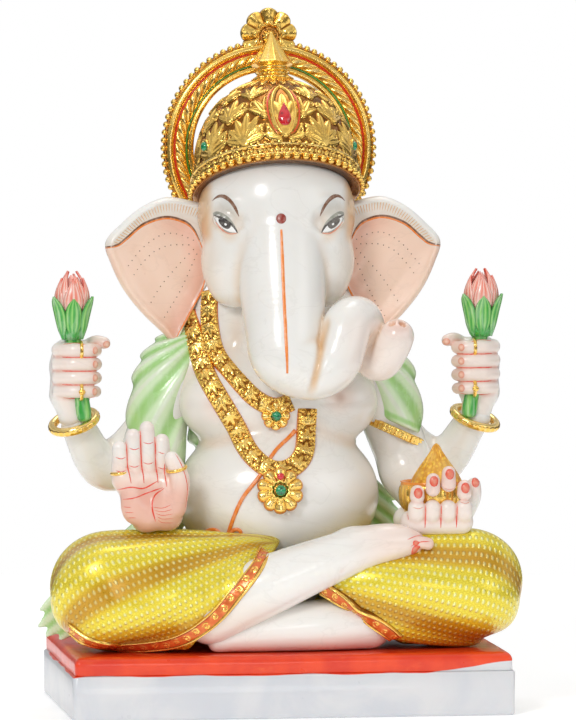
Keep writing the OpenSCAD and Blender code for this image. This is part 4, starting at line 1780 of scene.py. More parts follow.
@dataclass
class Ears:
    """Broad ears with a rolled white rim, a pink field and dotted veins.

    Attributes:
        root: distance of the ear's inner line from the middle.
        swing: degrees that each ear is turned forward.
        thickness: thickness in the field.
    """

    root: float = 26.0
    swing: float = 8.0
    thickness: float = 4.4
    brow_line: tuple[tuple[float, float], ...] = ((49, 182.5), (43.5, 183.6), (39.4, 186.5), (32.1, 192.2),
        (22.6, 195.0), (14.5, 193.3), (10.2, 190.0), (7.4, 185))
    root_line: tuple[tuple[float, float], ...] = ((7.4, 185), (5, 178), (4.2, 172.3), (6, 164.5), (9.5, 158.0),
        (18.4, 142))

    def build(self, shop: Workshop) -> None:
        """Makes both ears.

        Args:
            shop: the workshop.
        """
        for s, name in ((-1, "right"), (1, "left")):
            skin = self._ear()
            skin.v[:, 2] -= 11
            a = math.radians(self.swing)
            x = self.root + skin.v[:, 0] * math.cos(a) + skin.v[:, 1] * math.sin(a)
            y = 3 - skin.v[:, 0] * math.sin(a) + skin.v[:, 1] * math.cos(a)
            skin.v = np.stack([x, y, skin.v[:, 2]], 1)
            skin = skin.moved(np.diag([-1.0, 1, 1] if s < 0 else [0.93, 1, 1]), (0 if s < 0 else 1.8, 0, 0))
            shop.place(f"{name}_ear_form", skin, "blushed_marble", "blushed_marble", f"{name}_ear")
            self._veins(shop.ground(f"{name}_ear_form"), shop.brush, s)

    def _ear(self) -> Skin:
        """Models the ear on the positive x side.

        Returns:
            The skin.
        """
        outline = spline(
            [(-3, 190), (3, 199), (13, 202.5), (23, 203.5), (33, 199.5), (42, 192.5), (49, 184.5), (46.5, 175),
            (41, 164),
             (33, 154), (24, 145.5), (18.5, 140.5), (14, 148), (8, 159), (2, 168), (-3, 178)], 16, True,
        )[:-1]
        centre = np.array([17.0, 176.0])
        share = np.r_[np.linspace(0.02, 0.9, 52), np.linspace(0.915, 1, 8), np.linspace(0.99, 0.02, 20)]
        front = np.arange(len(share)) < 60
        flat = centre + (outline - centre)[None] * share[:, None, None]
        x, z = flat[..., 0], flat[..., 1]
        rim = 1 - share[:, None]
        round_off = np.sqrt(np.clip(1 - np.clip((share[:, None] - 0.93) / 0.07, 0, 1) ** 2, 0.02, 1))
        roll = 0.9 * np.exp(-(((rim - 0.07) / 0.05) ** 2)) * soft(x, -2, 8)
        bowl = 1.3 * soft(rim, 0.05, 0.45) * soft(x, 4, 18)
        wave = 0.55 * np.sin((x * 0.9 + (200 - z) * 0.55) * 0.33) * soft(z, 188, 168) * soft(rim, 0.0, 0.15)
        half = self.thickness / 2
        y = np.where(front[:, None], -(half + roll - bowl - wave) * round_off, half * round_off)
        skin = loft(np.stack([x, y, z], -1))
        skin.paint = np.tile(Tone.MARBLE.linear, (len(skin.v), 1))
        self._tint(skin, outline)
        return skin

    def _tint(self, skin: Skin, outline: Array) -> None:
        """Tints the inner face pink and the rim ochre.

        Args:
            skin: the ear's skin.
            outline: the ear's edge, x and z; not used.
        """
        x, z = skin.v[:, 0], skin.v[:, 2]
        upper = spline(self.brow_line, 8)
        inner = spline(self.root_line, 8)
        field_line = np.vstack([upper, inner])
        d = np.min(np.hypot(x[:, None] - field_line[None, :, 0], z[:, None] - field_line[None, :, 1]), 1)
        top = np.interp(x, upper[::-1, 0], upper[::-1, 1])
        left = np.interp(z, inner[::-1, 1], inner[::-1, 0])
        inside = (z < top) & (x > left)
        front = skin.v[:, 1] < 0
        pink = front * inside * soft(d, 0.0, 1.6)
        skin.paint = blend(skin.paint, Tone.EAR_PINK, 0.85 * pink)
        skin.paint = blend(skin.paint, Tone.ROSE, 0.42 * pink * soft(d, 12, 1) * soft(x, 34, 12))
        skin.paint = blend(skin.paint, Tone.ROSE, 0.20 * pink * soft(z, 160, 142))
        skin.paint = blend(skin.paint, Tone.OCHRE, 0.22 * front * ~inside * soft(d, 6, 0))
        skin.paint = blend(skin.paint, Tone.OCHRE, 0.25 * soft(x, 6, -2))

    def _veins(self, skin: Ground, brush: Brush, s: int) -> None:
        """Paints the ear's inner lines, dotted veins and rim strokes.

        Args:
            skin: the surface they are laid on.
            brush: the brush.
            s: -1 for the idol's right, 1 for its left.
        """

        def at(points: Array | Sequence[Sequence[float]]) -> Array:
            """The points, moved to the ear's own place and side.

            Args:
                points: x and z from the ear's root.

            Returns:
                Points in the part's frame.
            """
            p = np.array(points, float)
            x = self.root + p[:, 0] * 0.99
            return np.stack([s * x if s < 0 else 0.93 * x + 1.8, p[:, 1] - 11], 1)

        brush.stroke(skin, at(self.brow_line[:]), Tone.BROWN, 0.75, ends=0.4)
        brush.stroke(skin, at([(x, z - 0.5) for x, z in self.brow_line]), Tone.ORANGE, 0.5, ends=0.4, lift=0.16)
        brush.stroke(skin, at(self.root_line), Tone.ORANGE, 0.45, ends=0.4)
        veins = (
            [(10, 185), (16, 187.5), (22, 188), (27, 186), (33, 181.5), (39, 174.5)],
            [(12, 183), (20, 183), (25, 181.5), (28.5, 179.5), (33.5, 174.5), (36.5, 170.5)],
            [(10, 181), (18, 173), (24, 166), (29, 158.5)],
            [(8.5, 179), (14, 167), (18, 159.5), (23, 152)],
        )
        for vein in veins:
            brush.dots(skin, at(even(spline(vein, 8), 2.6)), Tone.BROWN, 0.28)
        outline = even(spline([(4, 199), (13, 202), (23, 203), (33, 199), (41.6, 192), (48.4, 184.3)], 8), 1.5)
        for k, p in enumerate(outline):
            inward = unit(np.array([19.0, 176.0]) - p)
            brush.stroke(skin, at([p + inward * 1.0, p + inward * (3.4 + 0.6 * (k % 2)), p + inward * 5.6]),
                Tone.OCHRE, 0.16, ends=0.3, lift=0.05, gap=1.2)


@dataclass
class Arms:
    """The four arms, with soft elbows and wrist folds."""

    step: float = 0.8

    def build(self, shop: Workshop) -> None:
        """Makes the arms.

        Args:
            shop: the workshop.
        """
        for s, name in ((-1, "right"), (1, "left")):
            low = (min(s * 22, s * 100), -14, 58)
            clay = Clay(low, (low[0] + 78, 34, 128), self.step)
            clay.add(Limb(mirrored(((36, 17, 112, 10.6), (70, 14, 76, 9.8), (87.5, 2, 96, 6.8)), s), 10), 2)
            clay.add(Lump((s * 69, 13, 76), (11.5, 9.6, 10)), 5)
            clay.score(((s * 58, 3, 82), (s * 62, 5, 88), (s * 66, 8, 93)), 1.2, 0.5)
            clay.score(((s * 82, -6, 88.5), (s * 86, -8, 86.5), (s * 92, -4, 87.5)), 0.9, 0.45)
            # Painted shade in the creases.
            skin = shade_creases(clay.skin(), 0.6)
            # Ochre painted shade under the elbow and under the upper arm.
            spot(skin, (s * 74, 10, 66), 16, Tone.OCHRE, 0.42)
            spot(skin, (s * 52, 12, 84), 22, Tone.OCHRE, 0.26)
            shop.place(f"rear_{name}_arm_form", skin, "marble", "marble", f"rear_{name}_arm")
        for s, name in ((-1, "right"), (1, "left")):
            wrist = (56, -27, 61, 8.3) if s < 0 else (60, -22, 60, 7.0)
            low = (min(s * 30, s * 76), -38, 44)
            clay = Clay(low, (low[0] + 46, 22, 128), self.step)
            clay.add(Limb(mirrored(((44, 4, 112, 12.6), (58, 2, 74, 11.2), wrist), s), 10), 2)
            clay.add(Lump((s * 57.5, 1, 73), (11.2, 10.8, 11)), 5)
            clay.score(((s * 50, -9, 77), (s * 56, -11, 80), (s * 62, -8, 82)), 1.2, 0.5)
            # Painted shade in the creases, and ochre painted shade in the bend of the elbow.
            skin = shade_creases(clay.skin(), 0.6)
            spot(skin, (s * 60, -6, 66), 16, Tone.OCHRE, 0.30)
            shop.place(f"front_{name}_arm_form", skin, "marble", "marble", f"front_{name}_arm")


@dataclass
class Fists:
    """The rear hands, each closed round a lotus stem."""

    step: float = 0.5

    def build(self, shop: Workshop) -> None:
        """Makes both hands.

        Args:
            shop: the workshop.
        """
        clay = Clay((-16, -12, -24), (14, 12, 22), self.step)
        palm = ((5, 3, -10, 6.2), (4, 3, 8, 5.8))
        clay.add(Limb(palm, 4), 2).add(Limb(((-1, 3, -10, 5.8), (-2, 2, 8, 5.3)), 4),
            3).add(Limb(((5, 3, 2, 5.6), (-2, 2.6, 2, 5.4)), 4), 3)
        clay.add(Limb(((3, 2, -12, 6.4), (1, 3, -19, 6.5)), 5), 3)
        for k in range(4):
            z = 9.3 - 5.9 * k
            size = (1.0, 1.03, 1.0, 0.9)[k]
            clay.add(Limb(((7.5, -1.6, z, 3.25 * size), (2, -6.6, z + 0.2, 3.2 * size),
                (-5, -6.6, z, 3.05 * size), (-8.2, -2.8, z - 0.3, 2.7 * size)), 6), 0.7)
        clay.add(Limb(((0, 5, 6, 3.4), (-8, 2, 12, 3), (-13, -1, 12, 2.5)), 6), 1.2)
        base = clay.skin()
        # Rose painted shade in the creases.
        shade_creases(base, 0.8, 4, Tone.ROSE)
        front = soft(base.v[:, 1], 0, -6)
        tips = soft(base.v[:, 0], -4, -8) * soft(base.v[:, 2], -14, -12)
        base.paint = blend(base.paint, Tone.BLUSH, 0.35 * front)
        base.paint = blend(base.paint, Tone.ROSE, 0.28 * tips)
        for s, name in ((-1, "right"), (1, "left")):
            mirror = np.diag([float(s), 1, 1])
            skin = base.moved(mirror, (s * 87, -1, 118))
            shop.place(f"rear_{name}_hand_form", skin, "blushed_marble", "marble", f"rear_{name}_hand")
            ground, brush = shop.ground(f"rear_{name}_hand_form"), shop.brush
            for k in range(3):
                z = 118 + 6.4 - 5.9 * k
                brush.stroke(ground, [(s * (87 + x), z) for x in (6.5, 1.5, -4, -8.5)], Tone.RED, 0.34,
                    ends=0.5)
            brush.stroke(ground, [(s * (87 + x), 118 - 11.4 + dz) for x,
                dz in ((6, 0.4), (1.5, 0), (-4, 0.2), (-7.5, 0.8))], Tone.RED, 0.26, ends=0.4)
            brush.stroke(ground, [(s * (87 + x), 118 + 12.6 + dz) for x, dz in ((6, -0.6), (1, 0), (-3, -0.8))],
                Tone.RED, 0.26, ends=0.4)
            for k in range(4):
                z = 118 + 9.3 - 5.9 * k
                nail = [(s * (87 - 8.7 + 1.7 * math.cos(a)), -12.0, z + 1.6 * math.sin(a))
                    for a in np.linspace(0, 5.5, 8)]
                brush.patch(ground, nail, Tone.ROSE, (-s * 0.45, -0.9, 0), 0.14, 0.15, Tone.BLUSH)
            thumb = [(s * (87 - 13 + 1.6 * math.cos(a)), -12.0, 118 + 12.4 + 1.5 * math.sin(a))
                for a in np.linspace(0, 5.5, 8)]
            brush.patch(ground, thumb, Tone.ROSE, (0, -1, 0.1), 0.14, 0.1, Tone.BLUSH)


@dataclass
class BlessingHand:
    """The raised right hand, fingers together, with painted palm lines and two rings' worth of room."""

    origin: Triple = (-61, -35, 54)
    fingers: tuple[tuple[float, float], ...] = ((-11, 34.5), (-5.2, 40), (0.8, 43.5), (7.2, 37.5))

    def build(self, shop: Workshop) -> None:
        """Makes the hand.

        Args:
            shop: the workshop.
        """
        clay = Clay((-17, -12, -6), (22, 12, 50), 0.5)
        for a, b in (((1, 1, 4, 5.8), (10, 1, 4, 5.8)), ((-9.3, 0, 20, 4.6), (10.2, -1, 18, 5.4)),
                ((0, 1, 3, 6), (-9.3, 0, 20, 4.6)), ((9, 1, 4, 5.8), (10.2, -1, 18, 5.4)),
                ((3, 1, 5, 5.6), (0.5, 0, 19, 4.8))):
            clay.add(Limb((a, b), 5), 3)
        for f0, f1 in self.fingers:
            mid = (17 + f1) / 2
            clay.add(Limb(((f0 * 0.9 + 1.5, 0, 17, 3.9), (f0 + 0.1, -0.4, mid - 3, 3.65),
                (f0, -0.8, mid + 3, 3.5), (f0 - 0.4, -1.6, f1 - 0.2, 3.05)), 6), 0.55)
        clay.add(Limb(((12.2, -2.2, 8, 5.2), (14, -6, 19, 4.3), (12.4, -7.2, 25, 3.7), (10.5, -7.5, 29, 3.1)),
            6), 1.0)
        clay.add(Lump((8.5, -4.0, 10), (5.6, 4.4, 8)), 3)
        clay.add(Lump((-5.5, -3.2, 9), (5.4, 3.4, 8)), 3)
        clay.cut(Lump((0.5, -8.2, 15), (4.4, 4.6, 6)), 2.5)
        skin = clay.skin()
        # Rose painted shade in the creases.
        shade_creases(skin, 0.9, 4, Tone.ROSE)
        x, y, z = skin.v.T
        front = soft(y, 2, -4)
        skin.paint = blend(skin.paint, Tone.BLUSH, 0.50 * front * soft(z, 36, 22))
        skin.paint = blend(skin.paint, Tone.ROSE, 0.50 * front * soft(z, 24, 12))
        skin.paint = blend(skin.paint, Tone.ROSE, 0.15 * front * soft(z, 30, 40))
        skin = skin.moved(None, self.origin)
        shop.place("blessing_hand_form", skin, "blushed_marble", "marble", "blessing_hand")
        self._lines(shop.ground("blessing_hand_form"), shop.brush)

    def _lines(self, ground: Ground, brush: Brush) -> None:
        """Paints the lines of the palm and the nails.

        Args:
            ground: the surface they are laid on.
            brush: the brush.
        """
        ox, _, oz = self.origin

        def at(*points: tuple[float, float]) -> list[tuple[float, float]]:
            """The points, moved to the hand's place."""
            return [(ox + x, oz + z) for x, z in points]

        red, fine = Tone.RED, 0.26
        for (a0, a1), (b0, b1) in zip(self.fingers[:-1], self.fingers[1:]):
            top = min(a1, b1) + 0.5
            brush.stroke(ground, at(((a0 + b0) / 2 * 0.95 + 0.9, 18.5), ((a0 + b0) / 2, (18 + top) / 2),
                ((a0 + b0) / 2 - 0.3, top)), red, 0.34, ends=0.5)
        for f0, f1 in self.fingers:
            for share in (0.36, 0.70):
                z = 18 + (f1 - 18) * share
                brush.stroke(ground, at((f0 - 2.2, z), (f0, z - 0.7), (f0 + 2.2, z)), red, 0.2, ends=0.3)
        brush.stroke(ground, at((-12.4, 15.5), (-7, 16.8), (-1, 16.2), (4.6, 19.4)), red, 0.36)
        brush.stroke(ground, at((-11.8, 11.5), (-6, 12.2), (0, 14.0), (6.6, 16.6)), red, 0.30)
        brush.stroke(ground, at((7.2, 16.4), (3.4, 13.0), (2.2, 8.0), (3.6, 2.0)), red, 0.38)
        for k in range(5):
            brush.stroke(ground, at((2.6 + 0.5 * k, 8.2 - 1.3 * k), (6.4, 8.0 - 1.6 * k),
                (10.0 + 0.4 * k, 9.4 - 2.0 * k)), red, 0.16, ends=0.2, lift=0.06)
        for k in range(3):
            brush.stroke(ground, at((-10.4 + k, 8.5 - 2.4 * k), (-6.8 + k, 8.2 - 2.2 * k)), red, 0.16, ends=0.2,
                lift=0.06)
        brush.stroke(ground, at((16.6, 8), (16.9, 17), (14.4, 26), (11.6, 31.2)), red, 0.24, ends=0.3)
        brush.stroke(ground, at((8.2, 17.0), (7.6, 23), (8.0, 28.4)), red, 0.28, ends=0.4)


@dataclass
class OfferingHand:
    """The left hand that holds the cup of the modak, fingers raised in front of it."""

    def build(self, shop: Workshop) -> None:
        """Makes the hand.

        Args:
            shop: the workshop.
        """
        clay = Clay((44, -53, 46), (88, -14, 84), 0.5)
        for a, b in (((53, -42, 54.5, 5.4), (74, -42, 54.5, 5.4)), ((53, -24, 54.5, 5.4), (74, -24, 54.5, 5.4)),
                ((56, -33, 54, 5.4), (72, -33, 54, 5.4))):
            clay.add(Limb((a, b), 4), 4)
        clay.add(Limb(((60, -22, 60, 6.6), (62, -28, 55, 6.6)), 4), 3)
        for k in range(4):
            x, top = 54 + 6.8 * k, (68, 73, 76, 70)[k]
            clay.add(Limb(((x, -41, 55, 4.0), (x + 0.1, -45.6, 58, 3.75), (x + 0.2, -46.5, 62, 3.6),
                (x + 0.4, -47, top, 2.95)), 6), 0.6)
        clay.add(Limb(((75, -34, 55, 4.6), (80, -35, 64, 3.8), (80.5, -37, 71, 2.9)), 6), 1.2)
        clay.cut(Lump((63, -32, 67), (14.2, 14.2, 14.2)), 0.5)
        skin = clay.skin()
        # Rose painted shade in the creases.
        shade_creases(skin, 0.8, 4, Tone.ROSE)
        skin.paint = blend(skin.paint, Tone.BLUSH, 0.30 * soft(skin.v[:, 1], -38, -46))
        skin.paint = blend(skin.paint, Tone.ROSE, 0.22 * soft(skin.v[:, 2], 62, 70))
        shop.place("offering_hand_form", skin, "blushed_marble", "marble", "offering_hand")
        ground, brush = shop.ground("offering_hand_form"), shop.brush
        for k in range(4):
            x, top = 54.4 + 6.8 * k, (68, 73, 76, 70)[k]
            nail = [(x + 1.9 * math.cos(a), top - 0.4 + 2.3 * math.sin(a)) for a in np.linspace(0, 5.5, 8)]
            brush.patch(ground, nail, Tone.RED, lift=0.16, dome=0.25, inner=Tone.ROSE)
            if k < 3:
                brush.stroke(ground, [(x + 3.3, 52.5), (x + 3.4, 60),
                    (x + 3.5, min(top, (73, 76, 70)[k]) - 0.5)], Tone.RED, 0.30, ends=0.4)
            brush.stroke(ground, [(x - 2.2, top - 6.4), (x, top - 7.0), (x + 2.2, top - 6.4)], Tone.ROSE, 0.2,
                ends=0.3)
        thumb = [(80.9 + 1.7 * math.cos(a), 71 + 2.0 * math.sin(a)) for a in np.linspace(0, 5.5, 8)]
        brush.patch(ground, thumb, Tone.RED, lift=0.16, dome=0.2, inner=Tone.ROSE)
        brush.stroke(ground, [(50.6, 56), (50.2, 62), (51.0, 67)], Tone.RED, 0.22, ends=0.3)


@dataclass
class Feet:
    """Both shins and feet, with toes and red nails."""

    def build(self, shop: Workshop) -> None:
        """Makes both.

        Args:
            shop: the workshop.
        """
        clay = Clay((-48, -62, 0), (66, -30, 58), 0.7)
        clay.add(Limb(((-34, -44, 17, 13.6), (-12, -48, 28, 13.0), (12, -50, 38, 10.9), (31, -49, 44.5, 9.2),
            (44, -47.6, 46.6, 8.0), (52, -46.5, 46.2, 5.6)), 7), 2)
        clay.add(Lump((26, -47, 46.5), (7, 6.4, 6.2)), 4)
        for k in range(5):
            y, r = -50.4 + 2.6 * k, (2.7, 2.1, 2.0, 1.9, 1.7)[k]
            x = (58.4, 58.2, 57.0, 55.6, 53.8)[k]
            clay.add(Limb(((50, y * 0.6 - 18.6, 46.0, 3.0),
                (x - 3, y - 0.4 if k == 0 else y, 46.6 + 0.3 * k, r), (x, y, 46.0 + 0.2 * k, r)), 4), 0.6)
        clay.keep((0, 0, -1), (0, 0, 1.5), 0.5)
        clay.score(((20, -58, 36), (24, -57, 41), (28, -55, 46)), 1.3, 0.45)
        # Rose painted shade in the creases.
        skin = shade_creases(clay.skin(), 0.8, 4, Tone.ROSE)
        x, y, z = skin.v.T
        skin.paint = blend(skin.paint, Tone.BLUSH, 0.42 * soft(x, 18, 44))
        skin.paint = blend(skin.paint, Tone.ROSE, 0.30 * soft(x, 48, 58))
        # Ochre painted shade low on the shin, near the seat.
        skin.paint = blend(skin.paint, Tone.OCHRE, 0.20 * soft(z, 30, 14) * soft(x, 10, -20))
        shop.place("right_shin_and_foot_form", skin, "marble", "marble", "right_shin_and_foot")
        low = Clay((-40, -58, -1), (50, -24, 26), 0.7)
        low.add(Limb(((34, -38, 11.5, 11.6), (14, -42, 11, 11.0), (-8, -43, 9.5, 9.6), (-24, -44, 7, 6.8),
            (-31, -45, 5, 4.9)), 7), 2)
        low.keep((0, 0, -1), (0, 0, 0.2), 0.5)
        # Painted shade in the creases, and ochre painted shade towards the bottom, near the seat.
        shin = shade_creases(low.skin(), 0.6, 4)
        shin.paint = blend(shin.paint, Tone.OCHRE, 0.15 * soft(shin.v[:, 2], 12, 2))
        shop.place("left_shin_and_foot_form", shin, "marble", "marble", "left_shin_and_foot")
        ground, brush = shop.ground("right_shin_and_foot_form"), shop.brush
        for x0, z0, r in ((58.2, 45.6, 2.0), (57.6, 48.4, 1.3)):
            nail = [(x0 + r * math.cos(a), -60, z0 + 0.9 * r * math.sin(a)) for a in np.linspace(0, 5.5, 8)]
            brush.patch(ground, nail, Tone.RED, (0.55, -0.8, 0.2), 0.15, 0.25, Tone.ROSE)
        brush.stroke(ground, [(50.5, 45.2), (54.5, 47.0), (58.8, 47.2)], Tone.RED, 0.22, ends=0.3)
        brush.stroke(ground, [(49.0, 48.2), (53.0, 49.4), (57.4, 49.6)], Tone.RED, 0.18, ends=0.3)
        brush.stroke(ground, [(44, 38.4), (50, 40.6), (56, 42.4), (60, 43.8)], Tone.ROSE, 0.25, ends=0.2)


# ---------------------------------------------------------------- cloth


@dataclass
class Dhoti:
    """The yellow lower garment: waist, two legs and their gold hems.

    Folds are meridians round an axis from the inner gathering point to the knee; the dots follow them.

    Attributes:
        cell: distance between dots.
        folds: folds round a leg.
        depth: height of the folds.
    """

    cell: float = 2.55
    folds: int = 8
    depth: float = 2.3

    def build(self, shop: Workshop) -> None:
        """Makes the waist, the legs and the hems.

        Args:
            shop: the workshop.
        """
        self._waist(shop)
        right = ((-8, -30, 41, 8), (-22, -33, 33, 17), (-50, -34, 27, 24.6), (-77, -34, 26, 25.4))
        left = ((16, -31, 24, 15), (32, -34, 25, 21.4), (52, -34, 26, 24.6), (77, -34, 26, 25.4))
        self._leg(shop, "right", right, np.array([-8.0, -34, 44]), np.array([-104.0, -22, -3]), 0.4)
        self._leg(shop, "left", left, np.array([8.0, -34, 30]), np.array([107.0, -18, 0]), 2.2)
        self._hems(shop)

    def _weave(self, skin: Skin, start: Array, end: Array, phase: float) -> tuple[Array, Array, Array]:
        """Finds each vertex's place along and round a leg, and its fold.

        Args:
            skin: the vertices.
            start: the leg's start.
            end: its end.
            phase: turn of the folds.

        Returns:
            Distance along, angle round, and the fold's wave from -1 to 1.
        """
        axis = unit(end - start)
        up = unit(np.array([0, 0, 1.0]) - axis * axis[2])
        side = np.cross(axis, up)
        rel = skin.v - start
        along, a, b = rel @ axis, rel @ up, rel @ side
        angle = np.arctan2(b, a)
        return along, angle, np.cos(self.folds * angle + phase + 0.9 * np.sin(2 * angle))

    def _leg(self, shop: Workshop, name: str, path: tuple[Quad, ...], start: Array, end: Array,
            phase: float) -> None:
        """Makes one pleated leg of the garment.

        Args:
            shop: the workshop.
            name: right or left.
            path: stations along the leg.
            start: start of its folds.
            end: their end.
            phase: turn of the folds.
        """
        low, high = (np.array([-106, -62, -1]),
            np.array([4, 30, 56])) if name == "right" else (np.array([0, -62, -1]), np.array([106, 30, 56]))
        clay = Clay(low, high, 0.8)
        clay.add(Limb(path, 8), 2).add(Limb(mirrored(((70, -24, 25, 24.4), (44, 4, 26, 23.4)),
            -1 if name == "right" else 1), 4), 4)
        if name == "right":
            clay.add(Limb(((-56, -38, 18, 15), (-38, -43.2, 16.6, 15.0), (-20, -46.0, 24.0, 14.4)), 6), 3)
            clay.keep((0.72, 0, -0.69), (-23.0, -50, 24.5), 1.2)
        else:
            clay.keep((-0.56, 0, -0.83), (29.5, -50, 15.5), 1.2)
        clay.keep((0, 0, -1), (0, 0, 0.3), 1.0)

        def pleat(p: Array, f: Array) -> Array:
            """Raises the folds near the surface.

            Args:
                p: grid points.
                f: the field there.

            Returns:
                The new field.
            """
            near = np.abs(f) < 5
            probe = Skin(p[near].astype(float), np.zeros((0, 4), int))
            along, _, wave = self._weave(probe, start, end, phase)
            length = np.linalg.norm(end - start)
            envelope = soft(along, 4, 26) * soft(along, length - 4, length - 26)
            out = f.copy()
            out[near] = f[near] + self.depth * envelope * (0.35 - 0.65 * wave) * 0.8
            return out

        clay.alter(pleat)
        skin = clay.skin()
        along, angle, wave = self._weave(skin, start, end, phase)
        self._dye(skin, along, angle, wave)
        shop.place(f"dhoti_{name}_leg_form", skin, "brocade", "yellow_enamel", f"dhoti_{name}_leg")

    def _dye(self, skin: Skin, along: Array, angle: Array, wave: Array) -> None:
        """Colours the cloth with painted light and shade: lighter high up and on the fold ridges, darker in the
        valleys, creases and near the seat.

        Args:
            skin: the skin.
            along: distance along it.
            angle: angle round it.
            wave: its folds, -1 to 1.
        """
        z = skin.v[:, 2]
        high = 0.5 + 0.5 * wave
        # Painted light: how lit each vertex is painted to be, higher up and on the fold ridges; stored as the shade
        # attribute.
        lit = np.clip(0.30 * soft(z, 4, 40) + 0.75 * high * soft(z, 0, 26) + 0.12, 0, 1)
        skin.paint = blend(np.tile(Tone.YELLOW.linear, (len(z), 1)), Tone.LEMON, np.full(len(z), 0.45))
        # Amber painted shade in the fold valleys and low down, a lemon painted highlight on the ridges, brown painted
        # shade in the creases and near the seat.
        skin.paint = blend(skin.paint, Tone.AMBER, 0.70 * soft(high, 0.42, 0.02) + 0.22 * soft(z, 16, 4))
        skin.paint = blend(skin.paint, Tone.LEMON, 0.85 * soft(high, 0.25, 0.7) * soft(z, 0, 16))
        skin.paint = blend(skin.paint, Tone.BROWN, 0.45 * skin.creases(3) + 0.25 * soft(z, 10, 0))
        rows = round(2 * math.pi * 25 / self.cell / 2) * 2
        skin.extra["weave"] = np.stack([along / self.cell, angle / (2 * np.pi) * rows, np.zeros(len(z))], 1)
        skin.extra["shade"] = lit

    def _waist(self, shop: Workshop) -> None:
        """Makes the part round the waist.

        Args:
            shop: the workshop.
        """
        clay = Clay((-86, -44, -1), (86, 44, 56), 1.0)
        clay.add(Lump((0, 8, 20), (50, 32.5, 26)), 4)
        clay.add(Limb(((-36, 16, 13, 15), (0, 25, 13, 15), (36, 16, 13, 15)), 6), 6)
        clay.add(Limb(((-40, 14, 28, 20), (0, 20, 30, 18), (40, 14, 28, 20)), 6), 6)
        clay.keep((0, 0, -1), (0, 0, 0.3), 1.0)
        clay.alter(lambda p, f: f - 0.5 * np.sin(np.arctan2(p[..., 0], p[..., 1] + 10) * 22 + 0.05 * p[..., 2])
            * (np.abs(f) < 4))
        clay.keep((0, -0.5, 1), (0, -24, 40), 1.5)
        skin = clay.skin()
        x, y, z = skin.v.T
        angle = np.arctan2(x, y + 10)
        self._dye(skin, z * 1.0, angle, np.sin(angle * 22 + 0.05 * z))
        skin.extra["weave"] = np.stack([angle * 38 / self.cell, z / self.cell, np.zeros(len(z))], 1)
        shop.place("dhoti_waist_form", skin, "brocade", "yellow_enamel", "dhoti_waist")

    def _hems(self, shop: Workshop) -> None:
        """Lays the borders on both legs.

        Args:
            shop: the workshop.
        """
        right_ground = shop.ground("dhoti_right_leg_form", "right_shin_and_foot_form")
        left_ground = shop.ground("dhoti_left_leg_form", "left_shin_and_foot_form")
        right = [(-10.5, 43.0), (-17, 34), (-25.0, 24.6), (-34.5, 13.8), (-47, 5.4), (-60, 3.0), (-74, 3.0),
            (-87, 5.2), (-95, 11.5)]
        left = [(13.0, 26.6), (22, 20.4), (31, 14.2), (40, 8.2), (45.5, 4.4)]
        for name, ground, route in (("right", right_ground, right), ("left", left_ground, left)):
            path = even(spline([(x, -40, z) for x, z in route], 10), 0.5)
            at, normal = ground.drop(path, (0, -1, 0.12))
            for _ in range(30):
                at[1:-1] = (at[:-2] + 2 * at[1:-1] + at[2:]) / 4
                normal[1:-1] = (normal[:-2] + 2 * normal[1:-1] + normal[2:]) / 4
            at[:, 1] = np.maximum(at[:, 1], -59.4)
            at[:, 2] = np.maximum(at[:, 2], 2.4)
            skin = strap(at, unit(normal), 3.3, 0.9, hem_relief)
            shop.place(f"dhoti_{name}_hem_form", skin, "gold_leaf", "gold_leaf", f"dhoti_{name}_hem")


def strap(path: Array, normal: Array, half: float, lift: float,
        relief: Callable[[Array, Array], tuple[Array, Array, Array]], thick: float = 1.6) -> Skin:
    """A closed ornamental band that lies on a surface.

    Args:
        path: its middle line.
        normal: outward direction at each point.
        half: half width.
        lift: height of the band's plain face over the path.
        relief: gives (height in mm, enamel colour index or 0, tone strength) from (mm along, -1 to 1 across).
        thick: thickness below the path.

    Returns:
        The skin, with paint, mask and relief.
    """
    _, side, up = frames(path, normal)
    s = np.r_[0, np.cumsum(np.linalg.norm(np.diff(path, axis=0), axis=1))]
    across = np.r_[np.linspace(-1, 1, 23)]
    top_s, top_t = np.meshgrid(s, across, indexing="ij")
    height, enamel, strength = relief(top_s, top_t)
    taper = np.minimum(1, np.minimum(s, s[-1] - s) / 1.5)[:, None]
    droop = -0.5 * across[None, :] ** 2 * half * 0.18
    rise = (
        (lift + height) * np.sqrt(np.clip(taper, 0.05, 1))
        * np.sqrt(np.clip(1.04 - across[None, :] ** 8, 0, 1)) + droop
    )
    face = path[:, None] + side[:, None] * (half * across)[None, :, None] + up[:, None] * rise[..., None]
    under = path[:, None] + side[:, None] * (half * np.array([0.9, -0.9]))[None, :, None] - up[:, None] * thick
    skin = loft(np.concatenate([face, under], 1))
    n = len(s)
    flat = np.zeros((n, 2))
    skin.extra["relief"] = np.r_[np.concatenate([np.clip(height / 0.9, 0, 1.2), flat], 1).ravel(), 0, 0]
    colours = np.stack([Tone.GOLD.linear, Tone.MAROON.linear, Tone.RED.linear, Tone.GREEN.linear])
    index = np.r_[np.concatenate([enamel, flat], 1).ravel(), 0, 0].astype(int)
    skin.paint = colours[index]
    skin.mask = np.r_[np.concatenate([strength, flat], 1).ravel(), 0, 0] * (index > 0)
    return skin


def curl(x: Array, y: Array, reach: float, hand: int = 1) -> Array:
    """A spiral scroll of height 0 to 1.

    Args:
        x: distance from its middle.
        y: distance from its middle.
        reach: its radius.
        hand: 1 or -1.

    Returns:
        The height.
    """
    r, a = np.hypot(x, y) / reach, np.arctan2(y, x * hand) / (2 * np.pi)
    arm = np.abs(np.mod(a + 1.35 * r, 1) - 0.5)
    return np.maximum(soft(arm, 0.30, 0.02) * soft(r, 1.05, 0.85), soft(r, 0.30, 0.1))


